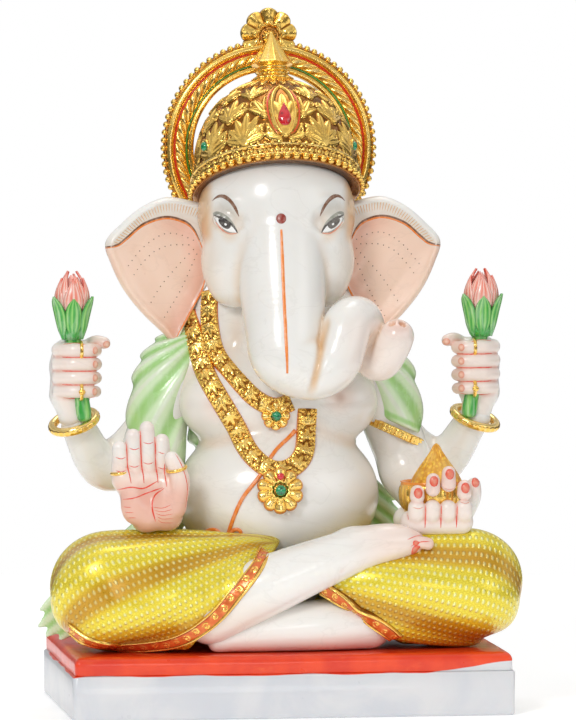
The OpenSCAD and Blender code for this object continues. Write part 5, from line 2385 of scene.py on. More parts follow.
def leaf(x: Array, y: Array, length: float, width: float) -> Array:
    """A pointed leaf of height 0 to 1 that grows along y from the origin, with a sunk vein.

    Args:
        x: distance across.
        y: distance along.
        length: its length.
        width: its half width.

    Returns:
        The height.
    """
    t = np.clip(y / length, 0, 1)
    w = np.maximum(width * 1.9 * t**0.55 * (1 - t) ** 0.75, 1e-3)
    body = np.sqrt(np.clip(1 - (x / w) ** 2, 0, 1))
    return body * (1 - 0.5 * np.exp(-((x / (0.16 * width)) ** 2))) * (y > 0) * (y < length)


def palmette(x: Array, y: Array, length: float, lobes: int = 5, spread: float = 62.0) -> Array:
    """A fan of leaves of height 0 to 1.

    Args:
        x: distance across.
        y: distance up from its root.
        length: length of the middle leaf.
        lobes: number of leaves.
        spread: degrees from the middle to the last leaf.

    Returns:
        The height.
    """
    out = np.zeros_like(x)
    for k in range(lobes):
        a = math.radians((k - (lobes - 1) / 2) / ((lobes - 1) / 2) * spread)
        u, v = x * math.cos(a) - y * math.sin(a), x * math.sin(a) + y * math.cos(a)
        out = np.maximum(out, leaf(u, v, length * (1 - 0.22 * abs(a)), length * 0.19))
    return np.maximum(out, soft(np.hypot(x, y) / length, 0.22, 0.10))


def hem_relief(s: Array, t: Array) -> tuple[Array, Array, Array]:
    """Two rails, a maroon line and red-backed scrolls, for the garment's hem.

    Args:
        s: mm along.
        t: -1 to 1 across.

    Returns:
        Height, enamel index and strength.
    """
    cell = np.mod(s, 5.2) - 2.6
    scroll = curl(cell, t * 3.2 + 0.4 * np.sign(np.mod(s, 10.4) - 5.2), 1.7)
    field = np.abs(t) < 0.56
    rails = soft(np.abs(np.abs(t) - 0.84), 0.15, 0.03)
    height = np.where(field, 0.15 + 0.5 * scroll, 0.85 * rails)
    enamel = np.where(field & (scroll < 0.3), 2, 0)
    line = (t > 0.58) & (t < 0.72)
    return height, np.where(line, 1, enamel), np.where(line, 1.0, 0.65)


def chain_relief(s: Array, t: Array) -> tuple[Array, Array, Array]:
    """Beaded edges and leaf scrolls, for the necklaces.

    Args:
        s: mm along.
        t: -1 to 1 across.

    Returns:
        Height, enamel index and strength.
    """
    pitch = 7.4
    cell = np.mod(s, pitch) - pitch / 2
    y = t * 4.3
    fan = palmette(y * 0.9, cell + 3.2, 5.6, 5, 70)
    curls = np.maximum(curl(cell - 2.6, y - 2.0, 1.25), curl(cell - 2.6, y + 2.0, 1.25, -1))
    bead = soft(np.hypot(np.mod(s, 1.7) - 0.85, (np.abs(y) - 3.65)), 0.8, 0.2)
    height = np.maximum(np.maximum(0.95 * fan, 0.8 * curls), 0.75 * bead)
    edge = np.abs(t) > 0.975
    return height, np.where(edge, 2, 0), np.where(edge, 0.9, 0.0)


@dataclass
class Shawl:
    """The green shawl: a part over each upper arm, one across the back and two tails on the seat."""

    def build(self, shop: Workshop) -> None:
        """Makes the five parts.

        Args:
            shop: the workshop.
        """
        for s, name in ((-1, "right"), (1, "left")):
            self._shoulder(shop, s, name)
            self._tail(shop, s, name)
        self._back(shop)

    def _shoulder(self, shop: Workshop, s: int, name: str) -> None:
        """Makes the part over one upper arm.

        Args:
            shop: the workshop.
            s: -1 for the idol's right, 1 for its left.
            name: right or left.
        """
        low = (min(s * 24, s * 70), -14, 70)
        clay = Clay(low, (low[0] + 46, 22, 142), 0.7)
        clay.add(Limb(mirrored(((35, 5, 128, 9.6), (45.4, 5, 118, 13.6), (51.4, 3, 98, 12.8),
            (51.6, 1, 78, 11.6)), s), 8), 2)
        heart = (s * 30.0, 136.0)

        def ray(p: Array) -> Array:
            """Angle of each point seen from where the folds meet."""
            return np.arctan2(s * (p[..., 0] - heart[0]), heart[1] - p[..., 2])

        def fold(p: Array) -> Array:
            """Wave of the folds, -1 to 1."""
            a = ray(p) + 0.010 * p[..., 1]
            return np.cos(a * 25 + 1.6 * np.sin(a * 5))

        clay.alter(lambda p, f: f - np.where(np.abs(f) < 4,
            0.85 * fold(p) * soft(np.hypot(p[..., 0] - heart[0], p[..., 2] - heart[1]), 4, 26), 0))
        if s < 0:
            clay.keep((0, 0, -1), (0, 0, 74), 1.4)
        else:
            a = math.radians(24)
            clay.keep((-math.sin(a), 0, -math.cos(a)), (52.5, 0, 94), 1.4)
        skin = clay.skin()
        high = 0.5 + 0.5 * fold(skin.v)
        # Painted shade: deeper green in the fold valleys; painted highlight: near white on the crests.
        skin.paint = np.tile(Tone.PALE_GREEN.linear, (len(skin.v), 1))
        skin.paint = blend(skin.paint, Tone.GREEN, 0.12 + 0.58 * soft(high, 0.60, 0.0))
        skin.paint = blend(skin.paint, Tone.MARBLE, 0.50 * soft(high, 0.85, 1.0))
        skin.paint = blend(skin.paint, Tone.GREEN,
            0.65 * soft(s * skin.v[:, 0], 43, 36) * soft(skin.v[:, 1], 4, -6))
        skin.paint = blend(skin.paint, Tone.DEEP_GREEN,
            0.35 * soft(s * skin.v[:, 0], 39, 34) * soft(skin.v[:, 1], 4, -6))
        if s > 0:
            edge = (
                (skin.v[:, 2] - 94) * math.cos(math.radians(24)) + (skin.v[:, 0] - 52.5)
                * math.sin(math.radians(24))
            )
            skin.paint = blend(skin.paint, Tone.GREEN, 0.7 * soft(np.abs(edge - 2.5), 1.6, 0.4))
        shop.place(f"shawl_{name}_form", skin, "painted_cloth", "green_enamel", f"shawl_{name}")

    def _back(self, shop: Workshop) -> None:
        """Makes the part across the back.

        Args:
            shop: the workshop.
        """
        clay = Clay((-46, 2, 60), (46, 36, 134), 1.0)
        for lump in (Lump((0, 8, 112), (41, 23, 19.4)), Lump((0, 10, 92), (37.5, 22.2, 22)),
                Lump((0, 12, 72), (33.4, 21, 13.6))):
            clay.add(lump, 6)

        def fold(p: Array) -> Array:
            """Wave of the folds, -1 to 1."""
            return np.cos((p[..., 2] + 0.012 * p[..., 0] ** 2) * 0.62 + 1.1 * np.sin(p[..., 0] * 0.05))

        clay.alter(lambda p, f: f - np.where(np.abs(f) < 4, 0.8 * fold(p), 0))
        clay.keep((0, -1, 0), (0, 4, 0), 1.0).keep((0, 0, -1), (0, 0, 62), 1.5)
        skin = clay.skin()
        high = 0.5 + 0.5 * fold(skin.v)
        # Deeper green painted shade in the fold valleys.
        skin.paint = blend(np.tile(Tone.PALE_GREEN.linear, (len(skin.v), 1)), Tone.GREEN,
            0.8 * soft(high, 0.7, 0.05))
        skin.paint = blend(skin.paint, Tone.DEEP_GREEN, 0.5 * soft(np.abs(skin.v[:, 2] - 65.5), 1.4, 0.4))
        shop.place("shawl_back_form", skin, "painted_cloth", "green_enamel", "shawl_back")

    def _tail(self, shop: Workshop, s: int, name: str) -> None:
        """Makes one end, from the shoulder down to the seat.

        Args:
            shop: the workshop.
            s: -1 for the idol's right, 1 for its left.
            name: right or left.
        """
        low = (min(s * 24, s * 108), 6, -1)
        clay = Clay(low, (low[0] + 84, 34, 78), 0.9)
        clay.add(Limb(mirrored(((36, 6, 66, 8.8), (56, 8, 42, 10.6), (80, 2, 20, 12.6), (95.6, -10, 9, 10.0)),
            s), 8, (1, 0.6, 1), (0, 20, 0)), 2)

        def fold(p: Array) -> Array:
            """Wave of the folds, -1 to 1."""
            across = s * p[..., 0] * 0.62 + p[..., 2] * 0.78
            return np.cos(across * 1.15 + 0.02 * s * p[..., 0])

        clay.alter(lambda p, f: f - np.where(np.abs(f) < 4, 0.7 * fold(p), 0))
        clay.keep((0, 0, -1), (0, 0, 0.3), 1.2)
        skin = clay.skin()
        high = 0.5 + 0.5 * fold(skin.v)
        # Deeper green painted shade in the fold valleys.
        skin.paint = blend(np.tile(Tone.PALE_GREEN.linear, (len(skin.v), 1)), Tone.GREEN,
            0.75 * soft(high, 0.7, 0.05))
        skin.v[:, 0] = np.clip(skin.v[:, 0], -105.9, 105.9)
        shop.place(f"shawl_tail_{name}_form", skin, "painted_cloth", "green_enamel", f"shawl_tail_{name}")


# ---------------------------------------------------------------- lotuses and sweet


def shell_leaf(profile: Sequence[tuple[float, float]], spread: float, thick: float, angle: float,
        wide: float = 0.5) -> Skin:
    """A thin curved leaf that stands round the z axis.

    Args:
        profile: (radius, height) from root to tip.
        spread: half angle that it covers where it is widest, in degrees.
        thick: thickness.
        angle: bearing of its middle in degrees.
        wide: where along its length it is widest.

    Returns:
        The skin; extra "across" and "along" give its own coordinates.
    """
    p = spline(profile, 6)
    t = np.linspace(0, 1, len(p))
    power = math.log(0.5) / math.log(wide)
    w = np.radians(spread) * np.clip(np.sin(np.pi * np.clip(t**power, 0.12, 0.985)), 0.05, 1) ** 0.8
    a = np.linspace(-1, 1, 13)
    slope = unit(np.gradient(p, axis=0))
    out = np.stack([slope[:, 1], -slope[:, 0]], 1)
    bow = thick * (1 - 0.6 * a**2)[None, :]
    r_out, z_out = p[:, :1] + out[:, :1] * bow, p[:, 1:] + out[:, 1:] * bow
    r_in, z_in = p[:, :1] + 0 * bow - 0.2, p[:, 1:] + 0 * bow
    th = math.radians(angle) + w[:, None] * a[None, :]
    ring_out = np.stack([r_out * np.cos(th), r_out * np.sin(th), z_out], -1)
    ring_in = np.stack([r_in * np.cos(th), r_in * np.sin(th), z_in], -1)[:, ::-1]
    skin = loft(np.concatenate([ring_out, ring_in], 1))
    ends = np.zeros(2)
    skin.extra["across"] = np.r_[np.tile(np.r_[a, a[::-1]], len(t)), ends]
    skin.extra["along"] = np.r_[np.repeat(t, 26), 0, 1]
    return skin


@dataclass
class Lotuses:
    """A lotus bud on a short stem in each raised hand."""

    place_x: float = 89.0
    place_z: float = 133.0

    def build(self, shop: Workshop) -> None:
        """Makes both flowers.

        Args:
            shop: the workshop.
        """
        petals, sepals = self._petals(), self._sepals()
        for s, name in ((-1, "right"), (1, "left")):
            mirror = np.diag([float(s), 1, 1])
            at = (s * self.place_x, -4, self.place_z)
            shop.place(f"lotus_{name}_petals_form", petals.moved(mirror, at), "petal_paint", "petal_enamel",
                f"lotus_{name}_petals")
            shop.place(f"lotus_{name}_sepals_form", sepals.moved(mirror, at), "petal_paint", "leaf_enamel",
                f"lotus_{name}_sepals")
            path = spline([(s * 83.6, -4.8, 96.6), (s * 84.6, -4.6, 104), (s * 87, -4.2, 118),
                (s * 88.8, -4, 135)], 8)
            stem = tube(path, np.interp(np.linspace(0, 1, len(path)), [0, 0.05, 0.2, 0.7, 1],
                [1.6, 3.0, 3.3, 2.9, 3.6]), 20)
            stem.paint = blend(np.tile(Tone.LEAF.linear, (len(stem.v), 1)), Tone.PALE_LEAF,
                0.8 * soft(np.sin(np.arctan2(stem.v[:, 1] + 4.4, stem.v[:, 0] - s * 87) * 7), 0.2, 0.9))
            shop.place(f"lotus_{name}_stem_form", stem, "petal_paint", "leaf_enamel", f"lotus_{name}_stem")

    def _petals(self) -> Skin:
        """Makes a bud's core and petals.

        Returns:
            The skin.
        """
        parts = []
        core = spin(np.array([(2.2, 2.0), (4.2, 8), (5.4, 14), (4.8, 19), (2.6, 23.5), (0.7, 26.5)]), 24)
        core.extra = {"across": np.zeros(len(core.v)), "along": soft(core.v[:, 2], 2, 26)}
        parts.append(core)
        for k in range(5):
            profile = [(2.6, 6), (5.6, 12), (6.4, 17.5), (5.0, 22.5),
                (1.6 + 0.5 * (k % 2), 28.0 - 1.2 * (k % 2))]
            parts.append(shell_leaf(profile, 42, 0.9, 36 + 72 * k, 0.42))
        for k in range(5):
            profile = [(2.8, 5), (6.2, 11), (7.0, 16), (6.3, 20.5), (4.4, 25.2)]
            parts.append(shell_leaf(profile, 36, 0.8, -90 + 72 * k, 0.42))
        skin = joined(parts)
        across, along = skin.extra.pop("across"), skin.extra.pop("along")
        skin.paint = np.tile(Tone.PALE_PETAL.linear, (len(skin.v), 1))
        skin.paint = blend(skin.paint, Tone.PETAL,
            0.95 * soft(np.abs(np.sin(across * 7.0)), 0.35, 0.9) * soft(along, 0.2, 0.6))
        skin.paint = blend(skin.paint, Tone.RED,
            0.55 * soft(np.abs(across), 0.8, 1.0) + 0.45 * soft(along, 0.8, 1.0))
        return skin

    def _sepals(self) -> Skin:
        """Makes a bud's cup and sepals.

        Returns:
            The skin.
        """
        cup = spin(np.array([(2.4, -1.6), (4.2, -1), (5.4, 1.6), (5.9, 5), (6.0, 8), (4.6, 9)]), 28)
        cup.extra = {"across": np.zeros(len(cup.v)), "along": np.zeros(len(cup.v))}
        parts = [cup]
        for k in range(6):
            profile = [(4.4, -0.8), (6.0, 4), (7.4, 10), (8.6, 14.5), (9.5, 17.6)] if k % 2 else [(4.2, -0.4),
                (5.8, 4), (6.8, 9.5), (7.3, 13.5), (7.6, 16.6)]
            parts.append(shell_leaf(profile, 33, 0.8, -90 + 60 * k, 0.40))
        skin = joined(parts)
        across, along = skin.extra.pop("across"), skin.extra.pop("along")
        skin.paint = np.tile(Tone.LEAF.linear, (len(skin.v), 1))
        skin.paint = blend(skin.paint, Tone.PALE_LEAF,
            0.9 * soft(np.abs(np.sin(across * 6.2 + 0.4)), 0.45, 0.95) * soft(along, 0.05, 0.3))
        skin.paint = blend(skin.paint, Tone.DEEP_GREEN, 0.8 * soft(np.abs(across), 0.86, 1.0))
        return skin


@dataclass
class Sweetmeat:
    """The modak in its cup."""

    centre: Triple = (63, -32, 66)

    def build(self, shop: Workshop) -> None:
        """Makes both.

        Args:
            shop: the workshop.
        """
        profile = spline([(0.6, -9), (6, -8.6), (10.4, -5), (11.8, 0), (11.0, 5.0), (8.2, 10), (5.0, 14.5),
            (2.6, 18), (1.2, 20.6), (0.3, 21.6)], 6)

        def pleats(a: Array, t: Array) -> Array:
            """Height of the pleats on the sweet."""
            return (0.55 * np.abs(np.cos(7.5 * a + 2.2 * t)) - 0.3) * soft(t, 0.3, 0.55) * soft(t, 1.0, 0.85)

        skin = spin(profile, 120, pleats).moved(None, np.array(self.centre) + [2, 0, 0])
        skin.paint = np.tile(Tone.ORANGE.linear, (len(skin.v), 1))
        skin.mask = np.zeros(len(skin.v))
        shop.place("modak_form", skin, "modak_glaze", "modak_enamel", "modak")
        a = np.linspace(-1.25, 0.34, 22)
        outer = np.stack([14.0 * np.cos(a), 14.0 * np.sin(a)], 1)
        inner = np.stack([12.3 * np.cos(a[::-1]), 12.3 * np.sin(a[::-1]) + 0.2], 1)
        lip = np.array([(13.6, 5.4), (12.9, 5.5)])
        ring = np.vstack([[(0.5, -13.6)], outer, lip, inner, [(0.5, -12.0)]])
        n = 96
        th = np.linspace(0, 2 * np.pi, n, endpoint=False)[None, :]
        flute = 1 + 0.022 * np.cos(24 * th) * ((ring[:, :1] > 12.6) & (ring[:, 1:] < 3))
        r = ring[:, :1] * flute
        cup = loft(np.stack([r * np.cos(th), r * np.sin(th), np.repeat(ring[:, 1:], n, 1)], -1)).moved(None,
            self.centre)
        z = cup.v[:, 2] - self.centre[2]
        cup.paint = np.tile(Tone.ORANGE.linear, (len(cup.v), 1))
        cup.mask = np.where(z > 4.3, 1.0, 0.0) * 0.8
        cup.extra["relief"] = np.clip(0.55 + 0.35
            * np.cos(24 * np.arctan2(cup.v[:, 1] - self.centre[1], cup.v[:, 0] - self.centre[0])), 0, 1)
        shop.place("modak_cup_form", cup, "gold_leaf", "gold_leaf", "modak_cup")


# ---------------------------------------------------------------- crown and halo


def gilt(skin: Skin, relief: Array | float) -> Skin:
    """Marks a skin as bare gold with a relief.

    Args:
        skin: the skin.
        relief: 0 in recesses to 1 on high places.

    Returns:
        The same skin.
    """
    skin.extra["relief"] = np.broadcast_to(np.asarray(relief, float), len(skin.v)).copy()
    skin.paint = np.tile(Tone.GOLD.linear, (len(skin.v), 1))
    skin.mask = np.zeros(len(skin.v))
    return skin


@dataclass
class Crown:
    """The tall crown: beaded band, dome of leaf fans, finial and stones.

    Attributes:
        at: its foot.
        radius: radius of the band.
        band_tilt: backward tilt of the band in degrees.
        dome_tilt: backward tilt of the dome in degrees.
        beads: beads round the band.
    """

    at: Triple = (0, -2, 194)
    radius: float = 37.0
    band_tilt: float = 26.0
    dome_tilt: float = 14.0
    beads: int = 56

    def build(self, shop: Workshop) -> None:
        """Makes the pieces.

        Args:
            shop: the workshop.
        """
        band, dome = turn(-self.band_tilt), turn(-self.dome_tilt)
        shop.place("crown_band_form", self._band().moved(band, self.at), "gold_leaf", "gold_leaf", "crown_band")
        shop.place("crown_dome_form", self._dome().moved(dome, self.at), "gold_leaf", "gold_leaf", "crown_dome")
        shop.place("crown_finial_form", self._finial().moved(dome, self.at), "gold_leaf", "gold_leaf",
            "crown_finial")
        shop.place("crown_bead_row_form", self._beads(band), "gold_leaf", "gold_leaf", "crown_bead_row")
        self._stones(shop, dome)

    def _dome_radius(self, q: Array) -> tuple[Array, Array]:
        """The dome's radius and height at q, from 0 at its foot to 1 at its top."""
        a = q * np.pi / 2
        return (self.radius - 2.2) * np.cos(a), 8 + 42 * np.sin(a) ** 0.9

    def _dome(self) -> Skin:
        """Makes the carved dome, its foot cut along the band's plane.

        Returns:
            The skin.
        """
        n, m = 560, 150
        th = np.linspace(0, 2 * np.pi, n, endpoint=False)[None, :]
        lean = math.radians(self.band_tilt - self.dome_tilt)
        foot = (5.5 - math.sin(lean) * (self.radius - 2.2) * np.sin(th)) / math.cos(lean)
        low = np.where(foot < 8, (foot - 8) / 16 * 0.12,
            2 / np.pi * np.arcsin(np.clip((foot - 8) / 42, 0, 1) ** (1 / 0.9)))
        q = low + (0.965 - low) * np.linspace(0, 1, m)[:, None]
        r, z = self._dome_radius(np.clip(q, 0.0, 1))
        z = np.where(q < 0, 8 + q / 0.12 * 16, z)
        s = np.clip((q - low) / (0.965 - low), 0, 1) * 56.0
        height = self._relief(th + 0 * s, s, r)
        skin = loft(np.stack([(r + height) * np.cos(th), (r + height) * np.sin(th),
            z + 0.35 * height + 0 * th], -1))
        gilt(skin, np.r_[np.clip(height.ravel() / 1.25, 0, 1), 0, 0.5])
        x = (np.mod(th + np.pi / 2 + np.pi, 2 * np.pi) - np.pi) * r
        t = np.clip((s - 5) / 27, 0, 1)
        w = 12.5 * t**0.5 * (1 - t) ** 0.62
        line = (np.abs(np.abs(x) - w - 1.1) < 0.42) & (s > 5) & (s < 31)
        skin.mask = np.r_[np.where(line, 0.95, 0.0).ravel(), 0, 0]
        skin.paint = np.where((skin.mask > 0)[:, None], Tone.RED.linear, skin.paint)
        return skin

    def _relief(self, th: Array, s: Array, r: Array) -> Array:
        """Height of the dome's carving.

        Args:
            th: angle round.
            s: distance up the dome.
            r: radius there.

        Returns:
            Height, mm.
        """

        def tile(count: int, shift: float = 0.0) -> Array:
            """Distance from the middle of the nearest of count places round the dome."""
            a = np.mod(th / (2 * np.pi) * count + 0.25 * count + 0.5 + shift, 1) - 0.5
            return a * 2 * np.pi * r / count

        first = palmette(tile(12), s - 3.0, 13.5, 7, 74)
        second = palmette(tile(12, 0.5), s - 14.5, 11.5, 5, 60)
        third = palmette(tile(12), s - 26.0, 9.5, 5, 56)
        fourth = leaf(tile(24, 0.5), s - 36.5, 15, 2.1)
        x = tile(12, 0.5)
        scrolls = np.maximum(curl(x - 3.0, s - 7.2, 2.7), curl(x + 3.0, s - 7.2, 2.7, -1))
        y = tile(12)
        upper = np.maximum(curl(y - 2.6, s - 20.8, 2.3), curl(y + 2.6, s - 20.8, 2.3, -1))
        beads = soft(np.hypot(tile(72), s - 1.9), 1.2, 0.3)
        ring = np.maximum(soft(np.abs(s - 52.2), 1.2, 0.5), 0)
        out = np.max([first, second * 0.95, third, fourth * 0.9, 0.8 * scrolls * (s < 10.5),
            0.8 * upper * (s < 24) * (s > 17), 0.7 * beads, ring], 0)
        front = (np.mod(th + np.pi / 2 + np.pi, 2 * np.pi) - np.pi) * r
        t = np.clip((s - 4) / 30, 0, 1)
        w = 13.5 * t**0.5 * (1 - t) ** 0.62
        inside = (np.abs(front) < w) & (s > 4) & (s < 34)
        frame = np.exp(-(((np.abs(front) - w + 1.3) / 0.9) ** 2)) * (s > 4) * (s < 34)
        field = 0.55 * palmette(front, s - 5.5, 22, 9, 70)
        out = np.where(inside, np.maximum(frame, field),
            np.where((np.abs(front) < w + 1.6) & (s < 34), 0.1, out))
        return 1.25 * out - 0.2

    def _band(self) -> Skin:
        """Makes the carved band.

        Returns:
            The skin.
        """
        n = 600
        th = np.linspace(0, 2 * np.pi, n, endpoint=False)[None, :]
        z = np.linspace(0.1, 7.9, 26)[:, None]
        arc = th * self.radius
        cell = np.mod(arc, 2 * np.pi * self.radius / 30) - np.pi * self.radius / 30
        flower = np.maximum(soft(np.hypot(cell, z - 4.9), 1.0, 0.5),
            0.9 * soft(np.abs(np.hypot(cell, z - 4.9) - 1.75), 0.55, 0.1)
            * (0.6 + 0.4 * np.cos(6 * np.arctan2(z - 4.9, cell))))
        diamond = soft(np.abs(np.abs(cell) - 3.87) * 1.2 + np.abs(z - 4.9), 1.9, 1.2)
        rails = np.maximum(soft(np.abs(z - 7.3), 0.7, 0.25), soft(np.abs(z - 3.0), 0.5, 0.15)) + 0 * th
        height = np.max([0.85 * flower, 0.8 * diamond, rails], 0)
        r_out = self.radius - 0.9 + 0.9 * height
        inner = np.full_like(th, self.radius - 5.0)
        rows = [np.stack([r_out[k : k + 1] * np.cos(th), r_out[k : k + 1] * np.sin(th), z[k] + 0 * th], -1)[0]
            for k in range(len(z))]
        for zi in (7.9, 4.0, 0.1):
            rows.append(np.stack([inner * np.cos(th), inner * np.sin(th), zi + 0 * th], -1)[0])
        lip = self.radius - 1.6
        rows.append(np.stack([lip * np.cos(th[0]), lip * np.sin(th[0]), np.full(n, 0.1)], -1))
        skin = loft(np.array(rows), False, True)
        gilt(skin, np.r_[np.clip(height, 0, 1).ravel(), np.zeros(4 * n)])
        skin.mask[:n] = 0.95
        skin.paint[:n] = Tone.MAROON.linear
        return skin

    def _beads(self, band: Array) -> Skin:
        """Makes the beads on the band, leaving out those inside of the halo.

        Args:
            band: the band's turn.

        Returns:
            The skin.
        """
        parts = []
        for k in range(self.beads):
            a = 2 * np.pi * k / self.beads
            spot_at = np.array([self.radius * math.cos(a), self.radius * math.sin(a), 1.5])
            y = (band @ spot_at)[1] + self.at[1]
            if 18.0 < y < 27.8:
                continue
            parts.append(ball(spot_at, (1.55, 1.55, 1.45), 14))
        skin = joined(parts).moved(band, self.at)
        return gilt(skin, 0.75)

    def _finial(self) -> Skin:
        """Makes the turned knob with its faceted point.

        Returns:
            The skin.
        """
        profile = spline([(8.6, 49.0), (9.0, 50.2), (7.4, 51.2), (6.6, 52.4), (7.6, 53.6), (6.6, 54.8),
            (7.2, 55.8), (9.3, 56.8), (8.9, 57.6), (6.6, 61), (4.3, 64.6), (2.2, 68.2), (0.5, 71.6)], 5)

        def facets(a: Array, t: Array) -> Array:
            """Flats on the point and flutes below it.

            Args:
                a: angle round.
                t: place along, 0 to 1.

            Returns:
                Change of radius, mm.
            """
            w = np.mod(a, np.pi / 4) - np.pi / 8
            r = np.interp(t, np.linspace(0, 1, len(profile)), profile[:, 0])
            return (
                r * (math.cos(np.pi / 8) / np.cos(w) - 1) * soft(t, 0.56, 0.62) + 0.35
                * np.cos(16 * a) * soft(t, 0.3, 0.15)
            )

        skin = spin(profile, 128, facets)
        # Painted light and shade round the knob: lighter in the middle of each of the eight facets, darker at their
        # edges.
        return gilt(skin, np.clip(0.55 + 0.4 * np.cos(8 * np.arctan2(skin.v[:, 1], skin.v[:, 0]) + np.pi),
            0.3, 1))

    def _stones(self, shop: Workshop, dome: Array) -> None:
        """Sets the red and green stones and the two bezels.

        Args:
            shop: the workshop.
            dome: the dome's turn.
        """

        def seat(q: float, angle: float, lift: float) -> Array:
            """A point on the dome.

            Args:
                q: place up the dome, 0 to 1.
                angle: bearing, degrees.
                lift: height over it, mm.

            Returns:
                The point.
            """
            r, z = self._dome_radius(np.array(q))
            a = math.radians(angle)
            return dome @ np.array([(r + lift) * math.cos(a), (r + lift) * math.sin(a), z]) + np.array(self.at)

        drop = spline([(0.1, -4.6), (1.9, -3.6), (2.9, -1.4), (2.6, 1.2), (1.4, 3.8), (0.15, 6.2)], 5)
        tear = spin(drop, 12)
        tear = Skin(tear.v * np.array([1.0, 0.55, 1.0]), tear.quads, tear.tris)
        tear = tear.moved(turn(-self.dome_tilt - 8), seat(0.27, -90, 0.7))
        shop.place("red_stones_form", joined([tear, self._cut((-3.5, -39.4, 74.7), 1.7, 0)]), "red_glass",
            "red_glass", "red_stones")
        greens = [self._cut((-3.5, -40.8, 68.7), 2.5, 0), self._cut((-3.5, -27.4, 99.7), 2.2, 0)]
        greens += [self._cut(seat(0.13, a, 0.9), 2.2, a + 90) for a in (-158, -22)]
        shop.place("green_stones_form", joined(greens), "green_glass", "green_glass", "green_stones")
        bezels = []
        for a in (-158, -22):
            c = seat(0.13, a, 0.6)
            bearing = math.radians(a)
            ring = [c + 2.7 * (math.cos(b) * np.array([-math.sin(bearing), math.cos(bearing), 0]) + math.sin(b)
                * np.array([0, 0.1, 1.0])) for b in np.linspace(0, 2 * np.pi, 24, endpoint=False)]
            bezels.append(tube(np.array(ring), 0.6, 8, loop=True))
        shop.place("crown_bezels", gilt(joined(bezels), 0.8), "gold_leaf", "gold_leaf")

    @staticmethod
    def _cut(centre: Sequence[float], radius: float, bearing: float) -> Skin:
        """Makes one round cut stone.

        Args:
            centre: its middle.
            radius: its radius.
            bearing: the way it faces, degrees.

        Returns:
            The skin.
        """
        profile = (
            np.array([(0.2, -0.9), (0.8, -0.5), (1.0, 0.0), (0.86, 0.34), (0.5, 0.56), (0.2, 0.6)])
            * radius
        )
        skin = spin(profile, 10)
        return skin.moved(turn(0, 0, bearing) @ turn(90), centre)


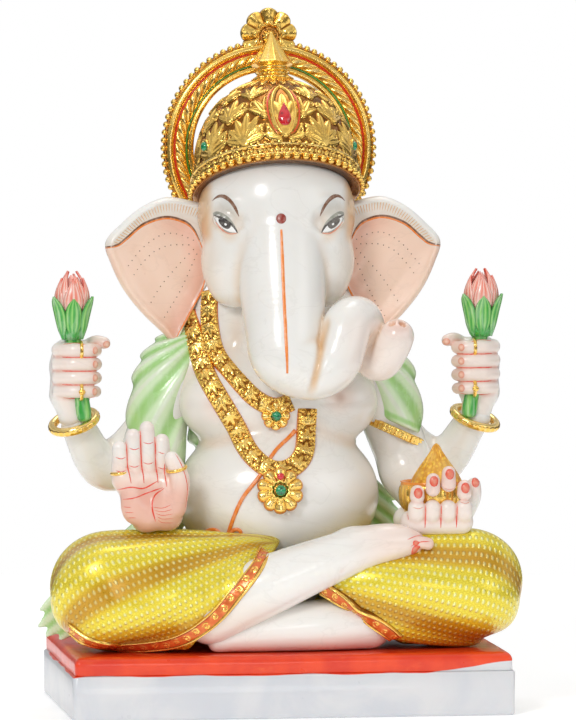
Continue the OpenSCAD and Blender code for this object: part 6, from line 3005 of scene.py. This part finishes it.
@dataclass
class Halo:
    """The ring of glory behind the head, with its beaded edge and crest.

    Attributes:
        centre: its middle.
        outer: outer radius.
        inner: inner radius.
        depth: thickness.
        teeth: beads round its edge.
    """

    centre: Triple = (0, 20, 213)
    outer: float = 46.0
    inner: float = 33.0
    depth: float = 6.0
    teeth: int = 84

    def build(self, shop: Workshop) -> None:
        """Makes the ring and the crest.

        Args:
            shop: the workshop.
        """
        shop.place("halo_ring_form", self._ring(), "gold_leaf", "gold_leaf", "halo_ring")
        shop.place("halo_crest_form", self._crest(), "gold_leaf", "gold_leaf", "halo_crest")

    def _ring(self) -> Skin:
        """Makes the ring with its rope, plain rims, painted lines and beads.

        Returns:
            The skin.
        """
        n = 640
        th = np.linspace(0, 2 * np.pi, n, endpoint=False)[None, :]
        r = np.r_[self.inner, np.linspace(self.inner + 0.15, self.outer - 0.15, 74), self.outer][:, None]
        rope = (
            np.sqrt(np.clip(1 - ((r - 38.85) / 2.35) ** 2, 0, 1))
            * (0.55 + 0.45 * np.abs(np.sin(26 * th + 0.62 * (r - 38.8))))
        )
        leaves = soft(np.abs(np.sin(26 * th + 0.9 * (r - 38.8))), 0.25, 0.0) * (np.abs(r - 38.85) < 1.7)
        plain = np.sqrt(np.clip(1 - ((r - 43.4) / 1.6) ** 2, 0, 1)) + 0 * th
        inside = np.sqrt(np.clip(1 - ((r - 34.4) / 1.5) ** 2, 0, 1)) + 0 * th
        height = np.max([1.7 * rope - 0.7 * leaves, 1.5 * plain, 1.4 * inside], 0)
        y = 1.5 - height
        y[0], y[-1] = 2.4, 2.4
        back_r = np.array([self.outer, self.outer - 0.8, (self.outer + self.inner) / 2, self.inner + 0.8,
            self.inner])[:, None]
        back_y = (
            np.array([self.depth - 1.0, self.depth, self.depth, self.depth, self.depth - 1.0])[:, None]
            + 0 * th
        )
        rr, yy = np.vstack([r + 0 * th, back_r + 0 * th]), np.vstack([y, back_y])
        skin = loft(np.stack([rr * np.cos(th), yy, rr * np.sin(th)], -1), False, True)
        rise = np.vstack([np.clip(height / 1.7, 0, 1), 0.5 + 0 * back_y])
        gilt(skin, rise.ravel())
        red, green = np.abs(rr - 41.5) < 0.36, np.abs(rr - 36.35) < 0.32
        face = np.arange(len(rr))[:, None] < len(r)
        mask = (red | green) & face
        skin.mask = np.where(mask, 0.95, 0.0).ravel()
        skin.paint = np.where(red.ravel()[:, None], Tone.RED.linear,
            np.where(green.ravel()[:, None], Tone.LEAF.linear, skin.paint))
        beads = [gilt(ball((self.outer * math.cos(a), 3.0, self.outer * math.sin(a)), (1.4, 2.2, 1.4), 10), 0.8)
            for a in np.linspace(0, 2 * np.pi, self.teeth, endpoint=False)]
        return joined([skin, *beads]).moved(None, self.centre)

    def _crest(self) -> Skin:
        """Makes the ruffled crest.

        Returns:
            The skin.
        """
        n, m = 360, 40
        th = np.linspace(0, 2 * np.pi, n, endpoint=False)[None, :]
        t = np.linspace(0.02, 1, m)[:, None]
        edge = 10.9 + 1.5 * np.abs(np.cos(4.5 * (th - np.pi / 2))) ** 0.7
        r = t * edge
        ruffle = (
            1.4 * np.abs(np.cos(4.5 * (th - np.pi / 2))) ** 0.8 * soft(t, 0.3, 0.75) + 0.5
            * soft(np.abs(t - 0.45), 0.1, 0.03) + 1.4 * soft(t, 0.26, 0.1)
        )
        y = 2.0 - ruffle - 0.5 * soft(t, 0.9, 0.5)
        y[-1] = 2.8
        rr, yy = np.vstack([r, r[::-4] * 0.995]), np.vstack([y, self.depth - 1.2 + 0 * r[::-4]])
        skin = loft(np.stack([rr * np.cos(th), yy, rr * np.sin(th)], -1))
        rise = np.vstack([np.clip(ruffle / 1.7, 0, 1), 0.4 + 0 * r[::-4]])
        gilt(skin, np.r_[rise.ravel(), 0.9, 0.4])
        return skin.moved(None, (self.centre[0], self.centre[1], self.centre[2] + 48.4))


# ---------------------------------------------------------------- jewellery


@dataclass
class Jewellery:
    """Necklaces, pendants, the sacred thread, bangles, the armlet and rings."""

    long_line: tuple[tuple[float, float], ...] = ((-33.5, 139), (-32.5, 131), (-30.5, 121), (-28, 112),
        (-22, 101), (-16, 91), (-12, 82), (-6, 76), (0, 74), (7, 76), (12, 82), (13.5, 91), (14, 100))
    short_line: tuple[tuple[float, float], ...] = ((-25.5, 150), (-26.5, 141), (-26, 133), (-24.5, 125),
        (-21, 118.5), (-15, 111), (-8, 104), (0, 100.5), (7, 103))
    thread: tuple[tuple[float, float], ...] = ((5, 93), (2, 90), (-5, 84), (-12, 74), (-19, 65), (-23, 55),
        (-25, 46))
    shift: tuple[float, float] = (-3.5, 2.5)

    def build(self, shop: Workshop) -> None:
        """Makes them all.

        Args:
            shop: the workshop.
        """
        body = shop.ground("torso_form")
        for name, route, half, lift in (("long", self.long_line, 4.4, 1.5),
                ("short", self.short_line, 4.0, 1.7)):
            path = even(spline([(x + self.shift[0], -30, z + self.shift[1]) for x, z in route], 10), 0.4)
            at, normal = body.drop(path)
            for _ in range(60):
                at[1:-1] = (at[:-2] + 2 * at[1:-1] + at[2:]) / 4
                normal[1:-1] = (normal[:-2] + 2 * normal[1:-1] + normal[2:]) / 4
            shop.place(f"necklace_{name}_form", strap(at, unit(normal), half, lift, chain_relief), "gold_leaf",
                "gold_leaf", f"necklace_{name}")
        shop.place("pendant_long_form", self._flower(10.2, 10, 5).moved(turn(-12, 0, -4), (-3.5, -38.2, 68.5)),
            "gold_leaf", "gold_leaf", "pendant_long")
        shop.place("pendant_short_form", self._flower(6.3, 8, 4.2).moved(turn(0, 0, -4), (-3.5, -24.7, 99.5)),
            "gold_leaf", "gold_leaf", "pendant_short")
        self._thread(shop, body)
        self._bangles(shop)

    @staticmethod
    def _flower(radius: float, petals: int, depth: float) -> Skin:
        """Makes a flower-shaped pendant.

        Args:
            radius: its radius.
            petals: how many.
            depth: its thickness.

        Returns:
            The skin.
        """
        n, m = 40 * petals // 4, 26
        th = np.linspace(0, 2 * np.pi, n, endpoint=False)[None, :]
        t = np.linspace(0.02, 1, m)[:, None]
        lobe = np.abs(np.cos(petals / 2 * (th - np.pi / 2)))
        r = t * radius * (0.86 + 0.14 * lobe**0.6)
        height = (
            1.1 * lobe**0.7 * soft(t, 0.35, 0.62) * soft(t, 1.02, 0.86) + 0.9
            * soft(np.abs(t - 0.38), 0.09, 0.02) + 0.3 * soft(t, 0.3, 0.1)
        )
        y = -depth * 0.18 - height - 0.8 * (1 - t**2)
        y[-1] = 0.4
        back = r[::-5] * 0.98
        rr, yy = np.vstack([r, back]), np.vstack([y, depth / 2 + 0 * back])
        skin = loft(np.stack([rr * np.cos(th), yy, rr * np.sin(th)], -1))
        gilt(skin, np.r_[np.vstack([np.clip(height / 1.1, 0, 1), 0.3 + 0 * back]).ravel(), 0.6, 0.3])
        rim = np.vstack([np.where((t > 0.95) & (t < 0.995), 0.95, 0.0) + 0 * th, 0 * back])
        skin.mask = np.r_[rim.ravel(), 0, 0]
        skin.paint = np.where((skin.mask > 0)[:, None], Tone.RED.linear, skin.paint)
        beads = [gilt(ball((0.62 * radius * math.cos(a), -depth * 0.18 - 1.2, 0.62 * radius * math.sin(a)),
            0.075 * radius, 8), 0.9) for a in np.linspace(0, 2 * np.pi, petals, endpoint=False)
            + np.pi / petals]
        return joined([skin, *beads])

    def _thread(self, shop: Workshop, body: Ground) -> None:
        """Lays the sacred thread and its bow on the body.

        Args:
            shop: the workshop.
            body: the body's surface.
        """
        parts = []
        routes = [self.thread, ((-25, 46), (-29, 51), (-33, 50), (-34, 46.6), (-30, 46), (-26, 47)),
            ((-25, 47), (-22, 51.5), (-19, 50.5), (-20.5, 47), (-24, 46.4)),
            ((-25.5, 46.5), (-28, 42.5), (-31.5, 41))]
        for route in routes:
            at, normal = body.drop(even(spline([(x, -30, z) for x, z in route], 8), 0.7), lift=0.35)
            for _ in range(4):
                at[1:-1] = (at[:-2] + 2 * at[1:-1] + at[2:]) / 4
            parts.append(tube(at, 0.85, 10, 0.7, unit(normal)))
        skin = joined(parts)
        skin.paint = np.tile(Tone.ORANGE.linear, (len(skin.v), 1))
        shop.place("sacred_thread_form", skin, "enamel", "orange_enamel", "sacred_thread")

    @staticmethod
    def _hoop(radius: float, bar: float, strands: int = 26, n: int = 260) -> Skin:
        """Makes a bangle, twisted between plain edges.

        Args:
            radius: its radius.
            bar: radius of its bar.
            strands: twists round it.
            n: points round it.

        Returns:
            The skin.
        """
        th = np.linspace(0, 2 * np.pi, n, endpoint=False)
        ring = np.linspace(0, 2 * np.pi, 16, endpoint=False)
        a, b = np.meshgrid(th, ring, indexing="ij")
        twist = 0.5 + 0.5 * np.cos(strands * a)
        edge = soft(np.abs(np.sin(b)), 0.55, 0.8)
        size = bar * (0.90 + 0.10 * np.where(edge > 0.5, 1, twist))
        v = np.stack([(radius + size * np.cos(b)) * np.cos(a), (radius + size * np.cos(b)) * np.sin(a),
            size * np.sin(b)], -1)
        skin = loft(v, False, True)
        return gilt(skin, (0.35 + 0.65 * np.where(edge > 0.5, 1, twist)).ravel())

    def _bangles(self, shop: Workshop) -> None:
        """Places the bangles and the armlet.

        Args:
            shop: the workshop.
        """
        rear = self._hoop(9.7, 1.9)
        for s, name in ((-1, "right"), (1, "left")):
            skin = rear.moved(turn(18, 18, 0)).moved(np.diag([float(s), 1, 1]), (s * 87.5, 2, 96))
            shop.place(f"bangle_rear_{name}_form", skin, "gold_leaf", "gold_leaf", f"bangle_rear_{name}")
        shop.place("bangle_front_right_form", self._hoop(11.6, 1.9, 30).moved(turn(114), (-56.3, -22.4, 63.1)),
            "gold_leaf", "gold_leaf", "bangle_front_right")
        th = np.linspace(0, 2 * np.pi, 200, endpoint=False)
        section = np.array([(12.0, -1.9), (13.2, -1.9), (13.9, -1.3), (13.5, -0.7), (13.9, 0), (13.5, 0.7),
            (13.9, 1.3), (13.2, 1.9), (12.0, 1.9)])
        a, k = np.meshgrid(th, np.arange(len(section)), indexing="ij")
        r = section[k, 0] + np.where(section[k, 0] > 13.4, 0.25 * np.cos(36 * a), 0)
        band = loft(np.stack([r * np.cos(a), r * np.sin(a), section[k, 1]], -1), False, True)
        gilt(band, (0.3 + 0.7 * (section[k, 0] > 13.6)).ravel())
        shop.place("armlet_left_form", band.moved(turn(0, 24, 0), (51.9, 2.8, 90.6)), "gold_leaf", "gold_leaf",
            "armlet_left")
        small = self._hoop(3.45, 0.8, 10, 90)
        rings = []
        for s in SIDES:
            for z in (9.3, -8.4):
                rings.append(small.moved(turn(0, 90, 0), (s * (87 - 1.5), -7.5, 118 + z)))
        o = np.array([-61, -35, 54])
        rings.append(self._hoop(3.8, 0.75, 10, 90).moved(turn(0, -4, 0), o + [-10.7, -0.5, 22.5]))
        rings.append(self._hoop(4.0, 0.75, 10, 90).moved(turn(8, -14, 0), o + [12.5, -7.0, 24.6]))
        for s in SIDES:
            rings.append(gilt(ball((s * 85.5, -11.8, 118 - 8.4), (1.5, 0.7, 1.3), 10), 0.8))
        shop.place("finger_rings_form", joined(rings), "gold_leaf", "gold_leaf", "finger_rings")


# ---------------------------------------------------------------- plinth


@dataclass
class Plinth:
    """The white block and the red-painted seat slab.

    Attributes:
        width: block width.
        depth: block depth.
        block: block height.
        inset: set-back of the slab.
        rounding: rounding of the slab's upper edge.
    """

    width: float = 190.0
    depth: float = 120.0
    block: float = 19.0
    inset: float = 0.8
    rounding: float = 3.5

    def build(self, shop: Workshop) -> None:
        """Makes both pieces.

        Args:
            shop: the workshop.
        """
        low = -SEAT
        rows = [(0.7, low), (0.1, low + 0.6), (0, low + 2), (0, low + self.block / 2),
            (0, low + self.block - 0.6), (0.5, low + self.block)]
        shop.place("plinth_block_form", self._stack(rows), "painted_plinth", "marble", "plinth_block")
        top = self.rounding
        a = np.linspace(0, np.pi / 2, 9)
        curve = [(self.inset + top * (1 - math.cos(b)), -top + top * math.sin(b)) for b in a]
        rows = [(self.inset + 0.3, low + self.block), (self.inset, low + self.block + 0.4), *curve,
            (self.inset + 9, 0), (self.inset + 30, 0)]
        shop.place("seat_slab_form", self._stack(rows, 0.22), "painted_plinth", "red_enamel", "seat_slab")

    def _stack(self, rows: Sequence[tuple[float, float]], wobble: float = 0.08) -> Skin:
        """Makes a round-cornered block from its outline at several heights.

        Args:
            rows: inset and height of each outline.
            wobble: unevenness of its sides, mm.

        Returns:
            The skin.
        """
        rings = []
        for inset, z in rows:
            w, d, r = self.width / 2 - inset, self.depth / 2 - inset, 2.2
            corner = np.linspace(0, np.pi / 2, 7)
            points = []
            for qx, qy, start in ((1, 1, 0), (-1, 1, 1), (-1, -1, 2), (1, -1, 3)):
                b = corner + start * np.pi / 2
                points.append(np.stack([qx * (w - r) + r * np.cos(b), qy * (d - r) + r * np.sin(b)], 1))
            loop = np.vstack([np.vstack([points[k],
                np.linspace(points[k][-1], points[(k + 1) % 4][0], 40)[1:-1]]) for k in range(4)])
            wave = (
                wobble
                * (np.sin(loop[:, 0] * 0.11 + loop[:, 1] * 0.07) + np.sin(loop[:, 0] * 0.043 - z * 0.3) - 2.0)
                * 0.5
            )
            loop = loop + wave[:, None] * unit(loop)
            rings.append(np.column_stack([loop, np.full(len(loop), z)]))
        return loft(np.array(rings))


# ---------------------------------------------------------------- studio


@dataclass
class Studio:
    """Camera, soft light and a plain pale floor.

    Attributes:
        azimuth: camera bearing in degrees, 0 is the front and negative is towards the idol's right.
        elevation: camera height angle in degrees.
        distance: camera distance in metres.
        width: what the image spans at that distance, in metres.
        target_height: height of the image's centre in metres.
        side: how far the image's centre lies to the right of the idol, in metres.
    """

    azimuth: float = -8.0
    elevation: float = 3.5
    distance: float = 3.0
    width: float = 0.2488
    target_height: float = 0.149
    side: float = 0.0052

    def build(self) -> None:
        """Makes the camera, lights, world and floor."""
        a, e = math.radians(self.azimuth), math.radians(self.elevation)
        target = Vector((math.cos(a) * self.side, math.sin(a) * self.side, self.target_height))
        away = Vector((math.sin(a) * math.cos(e), -math.cos(a) * math.cos(e), math.sin(e)))
        data = bpy.data.cameras.new("camera")
        data.sensor_fit, data.sensor_width = "HORIZONTAL", 36.0
        data.lens = 36.0 * self.distance / self.width
        data.clip_start, data.clip_end = 0.1, 20.0
        camera = bpy.data.objects.new("camera", data)
        bpy.context.scene.collection.objects.link(camera)
        camera.location = target + away * self.distance
        camera.rotation_euler = (-away).to_track_quat("-Z", "Y").to_euler()
        bpy.context.scene.camera = camera
        self._light("key", (-0.75, -1.25, 0.95), 0.42, 9.0)
        self._light("fill", (1.15, -0.95, 0.55), 0.9, 2.0)
        self._light("top", (0.1, 0.35, 1.4), 0.8, 4.0)
        self._light("front", (0.12, -1.6, 0.25), 0.35, 1.2)
        scene = bpy.context.scene
        scene.view_settings.view_transform = "Standard"
        world = bpy.data.worlds.new("world")
        scene.world = world
        world.use_nodes = True
        nodes, links = world.node_tree.nodes, world.node_tree.links
        seen = nodes.new("ShaderNodeLightPath")
        glow = nodes.new("ShaderNodeBackground")
        glow.inputs[0].default_value = (1, 1, 1, 1)
        place = nodes.new("ShaderNodeTexCoord")
        axes = nodes.new("ShaderNodeSeparateXYZ")
        ramp = nodes.new("ShaderNodeValToRGB")
        for at, level in ((0.30, 0.16), (0.47, 0.05), (0.56, 0.22), (0.68, 0.85), (0.80, 0.30), (1.0, 0.75)):
            stop = ramp.color_ramp.elements.new(at)
            stop.color = (level, level, level, 1)
        height = nodes.new("ShaderNodeMapRange")
        height.inputs[1].default_value = -1.0
        pick = nodes.new("ShaderNodeMix")
        pick.inputs["B"].default_value = 1.0
        links.new(place.outputs["Generated"], axes.inputs[0])
        links.new(axes.outputs["Z"], height.inputs[0])
        links.new(height.outputs[0], ramp.inputs[0])
        links.new(ramp.outputs["Color"], pick.inputs["A"])
        links.new(seen.outputs["Is Camera Ray"], pick.inputs["Factor"])
        links.new(pick.outputs[0], glow.inputs[1])
        links.new(glow.outputs[0], nodes["World Output"].inputs[0])
        self._floor()

    def _light(self, name: str, place: Triple, size: float, power: float) -> None:
        """Adds one round lamp, aimed at the idol.

        Args:
            name: its name.
            place: metres.
            size: metres across.
            power: watts.
        """
        data = bpy.data.lights.new(name, "AREA")
        data.shape, data.size, data.energy = "DISK", size, power
        light = bpy.data.objects.new(name, data)
        bpy.context.scene.collection.objects.link(light)
        light.location = place
        light.rotation_euler = (Vector((0, 0, 0.14)) - Vector(place)).to_track_quat("-Z", "Y").to_euler()

    def _floor(self) -> None:
        """Adds the round white floor."""
        mesh = bpy.data.meshes.new("floor")
        around = [(0.62 * math.cos(b), 0.62 * math.sin(b), 0)
            for b in np.linspace(0, 2 * np.pi, 96, endpoint=False)]
        mesh.from_pydata(around, [], [range(96)])
        floor = bpy.data.objects.new("floor", mesh)
        bpy.context.scene.collection.objects.link(floor)
        t = Tree("floor")
        t.put(Base_Color=t.mix(t.noise(3, 2), (0.93, 0.93, 0.93), (0.96, 0.96, 0.96)), Roughness=0.9,
            Emission_Color=(1, 1, 1, 1), Emission_Strength=0.22)
        mesh.materials.append(t.material)


def main() -> None:
    """Builds the whole model."""
    logging.basicConfig(level=logging.INFO, format="%(message)s")
    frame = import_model()
    shop = Workshop(frame)
    Studio().build()
    parts = (Plinth(), Torso(), HeadAndTrunk(), Ears(), Arms(), Fists(), BlessingHand(), OfferingHand(), Feet(),
        Dhoti(), Shawl(), Lotuses(), Sweetmeat(), Crown(), Halo(), Jewellery())
    for part in parts:
        part.build(shop)
    shop.place("painted_lines", joined(shop.brush.parts), "enamel", "red_enamel")
    for node in ("arm_dowels", "neck_dowel", "halo_dowels", "seat_dowels"):
        shop.dress(node, "dowel_steel")


if __name__ == "__main__":
    main()
